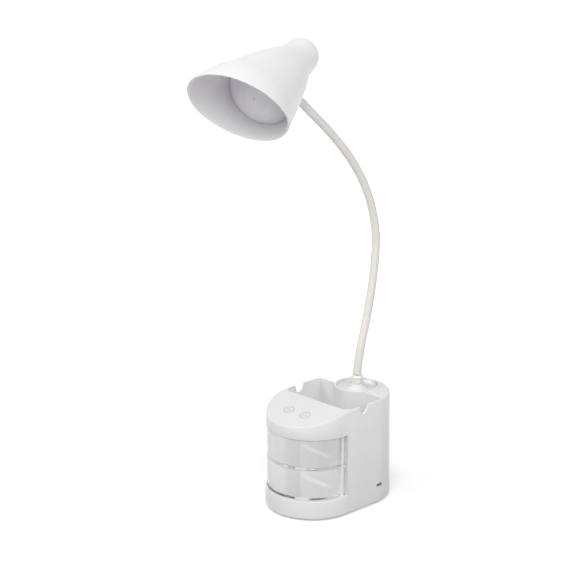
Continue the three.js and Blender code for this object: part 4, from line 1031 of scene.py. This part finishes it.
def bell(material):
    """Outer and inner skin, joined by a round lip that follows the slanted mouth."""
    around, along, lip_steps = 120, 70, 6
    columns = []
    for k in range(around):
        angle = math.tau * k / around
        outer = sample(BELL, 0.0, mouth_station(BELL, angle), along)
        inner = sample(INNER, SHADE_WALL, mouth_station(INNER, angle), along)
        (so, ro), (si, ri) = outer[-1], inner[-1]
        cs, cr = (so + si) / 2, (ro + ri) / 2
        wide = math.hypot(so - si, ro - ri) / 2
        run = Vector((so - outer[-2][0], ro - outer[-2][1])).normalized()
        lip = []
        for j in range(1, lip_steps):
            a = math.pi * j / lip_steps
            lip.append((cs + (so - cs) * math.cos(a) + run.x * wide * math.sin(a),
                        cr + (ro - cr) * math.cos(a) + run.y * wide * math.sin(a)))
        profile = outer + lip + inner[::-1]
        columns.append([(r * math.cos(angle), r * math.sin(angle), s) for s, r in profile])
    rows = len(columns[0])
    points = [p for column in columns for p in column]
    tip, hollow = len(points), len(points) + 1
    points += [(0, 0, 0), (0, 0, SHADE_WALL)]
    faces = []
    for k in range(around):
        here, after = k * rows, (k + 1) % around * rows
        faces.append((tip, after, here))
        faces += [(here + i, after + i, after + i + 1, here + i + 1) for i in range(rows - 1)]
        faces.append((here + rows - 1, after + rows - 1, hollow))
    return to_head(body_from("bell_shade", points, faces, material, BELL_SHARP))


PIN_TURN, PIN_STATION = math.radians(-74), 100.7
pin_radius = radius_at(INNER, PIN_STATION)
pin = Vector((pin_radius * math.cos(PIN_TURN), pin_radius * math.sin(PIN_TURN), PIN_STATION))
pin = HEAD_AT + HEAD_TURN @ pin
shade = bell(white_plastic("bell_plastic", pin_mark=tuple(pin * MM)))
point, run = neck_place(NECK_LENGTH)
drill = rod(NECK_BORE, -9, 16, 0, 0)
drill.data.transform(Matrix.Translation(point * MM) @ run.to_track_quat("Z", "Y").to_matrix().to_4x4())
carve(shade, drill)
polish(shade, BELL_SHARP)
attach(shade, "head")
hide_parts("shade")
wear(WHITE, "neck_bush")

# ---- Light unit
# Moulded holder pressed into the bell, with a cone that runs from its dome out to the bell's wall. It
# carries a white LED board with eight yellow chips on three screws, under a milky acrylic dome with
# faint moulding ridges, painted reflection rings in its colour and the small mark of its gate. The
# holder and its cone are painted a darker, bluer white for the shade deep in the bell.
GATE_CORE, GATE_EDGE = 0.8, 1.8


def milky_acrylic(name):
    """Milky white with faint ridges in rings about the bell's axis, and painted reflection rings in its
    colour.
    """
    finish = Finish(name)
    axis = HEAD_TURN @ Vector((0, 0, 1))
    spot = finish.node("VectorMath", {"operation": "SUBTRACT"}, {0: finish.place(), 1: tuple(HEAD_AT * MM)})
    along = finish.node("VectorMath", {"operation": "DOT_PRODUCT"}, {0: spot, 1: tuple(axis)}, 1)
    total = finish.node("VectorMath", {"operation": "DOT_PRODUCT"}, {0: spot, 1: spot}, 1)
    radius = (total - along * along).math("SQRT") * 1000.0
    rings = (radius * 0.9).math("SINE")
    haze = finish.noise(70.0, 3.0)
    # Painted reflection: the rings, with haze, make the dome's colour lighter and darker in bands.
    cloud = finish.range(rings + haze, 0, 1, -1.0, 2.0)
    tint = finish.mix(cloud, (0.765, 0.765, 0.785), (0.80, 0.80, 0.815))
    tint = finish.mix(finish.range(radius, 0, 1, GATE_CORE, GATE_EDGE), (0.66, 0.655, 0.68), tint)
    return finish.end(finish.principled(
        Base_Color=tint, Roughness=finish.range(haze, 0.3, 0.42, 0.3, 0.7), IOR=1.49,
        Normal=finish.bump(rings, 0.00002, 0.4)))


MILK = milky_acrylic("milky_plastic")
HOLDER_LOW = 0.516 * SHADE_LENGTH
DISC_TOP, RIM, CONE = HOLDER_LOW + 2.4, HOLDER_LOW + 6.6, HOLDER_LOW + 17.0
DOME_RADIUS, DOME_RISE, DOME_WALL = 32.3, 16.0, 1.5
DOME_RIM = DISC_TOP + GAP + 2.5


def dome_arc(radius, rise, station, steps=24):
    """Profile of a shallow dome from its rim to its top."""
    ball = (radius ** 2 + rise ** 2) / (2 * rise)
    half = math.asin(radius / ball)
    angles = [half * (1 - i / steps) for i in range(steps + 1)]
    return [(ball * math.sin(a), station + rise - ball * (1 - math.cos(a))) for a in angles]


def dome():
    """Thin dome with a short skirt and the nub left where the plastic went in, on top."""
    low = DISC_TOP + GAP
    outer = dome_arc(DOME_RADIUS, DOME_RISE, DOME_RIM)
    top = outer[-1][1]
    nub = [(1.15, top - 0.03), (1.05, top + 0.3), (0.8, top + 0.4), (0.0, top + 0.4)]
    outer = [p for p in outer if p[0] > 1.3] + nub
    inner = dome_arc(DOME_RADIUS - DOME_WALL, DOME_RISE - DOME_WALL, DOME_RIM)[::-1]
    profile = [(DOME_RADIUS - DOME_WALL, low), (DOME_RADIUS, low)] + outer
    profile += [(0.0, inner[0][1])] + inner[1:]
    return to_head(turned("diffuser_dome", profile, MILK))


diffuser = dome()
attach(diffuser, "head")
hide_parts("diffuser")


# Painted shade: the holder's white is made darker and bluer to stand in for the shade deep in the bell.
HOLDER_PAINTED_SHADE = white_plastic("holder_plastic_painted_shade", (0.77, 0.765, 0.785), 0.4)
WIRE_HOLE = 5.0


def holder():
    """Cup against the bell's inner wall, with the cone between that wall and the dome's edge."""
    inside = DOME_RADIUS + 0.04
    cone_edge = radius_at(INNER, CONE) - 0.06
    profile = [(WIRE_HOLE, HOLDER_LOW)]
    profile += [(radius_at(INNER, s) - GAP, s) for s in (HOLDER_LOW, DISC_TOP, RIM)]
    profile += [(cone_edge, CONE), (cone_edge - 0.75, CONE - 2.6), (inside, DOME_RIM + 0.2)]
    profile += [(inside, DISC_TOP), (WIRE_HOLE, DISC_TOP)]
    return to_head(turned("light_holder_cup", profile, HOLDER_PAINTED_SHADE))


cup = holder()
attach(cup, "head")
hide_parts("light_holder")
wear(BRIGHT_STEEL, *(f"light_screw_{i}" for i in range(1, 4)))


def phosphor(name, tint=(0.8, 0.55, 0.08)):
    finish = Finish(name)
    grit = finish.noise(5000.0, 2.0)
    base = finish.mix(grit, [c * 0.85 for c in tint], tint)
    return finish.end(finish.principled(Base_Color=base, Roughness=finish.range(grit, 0.35, 0.5),
                                        Normal=finish.bump(grit, 0.00001, 0.5)))


wear(phosphor("led_phosphor"), *(f"led_{i}" for i in range(1, 9)))
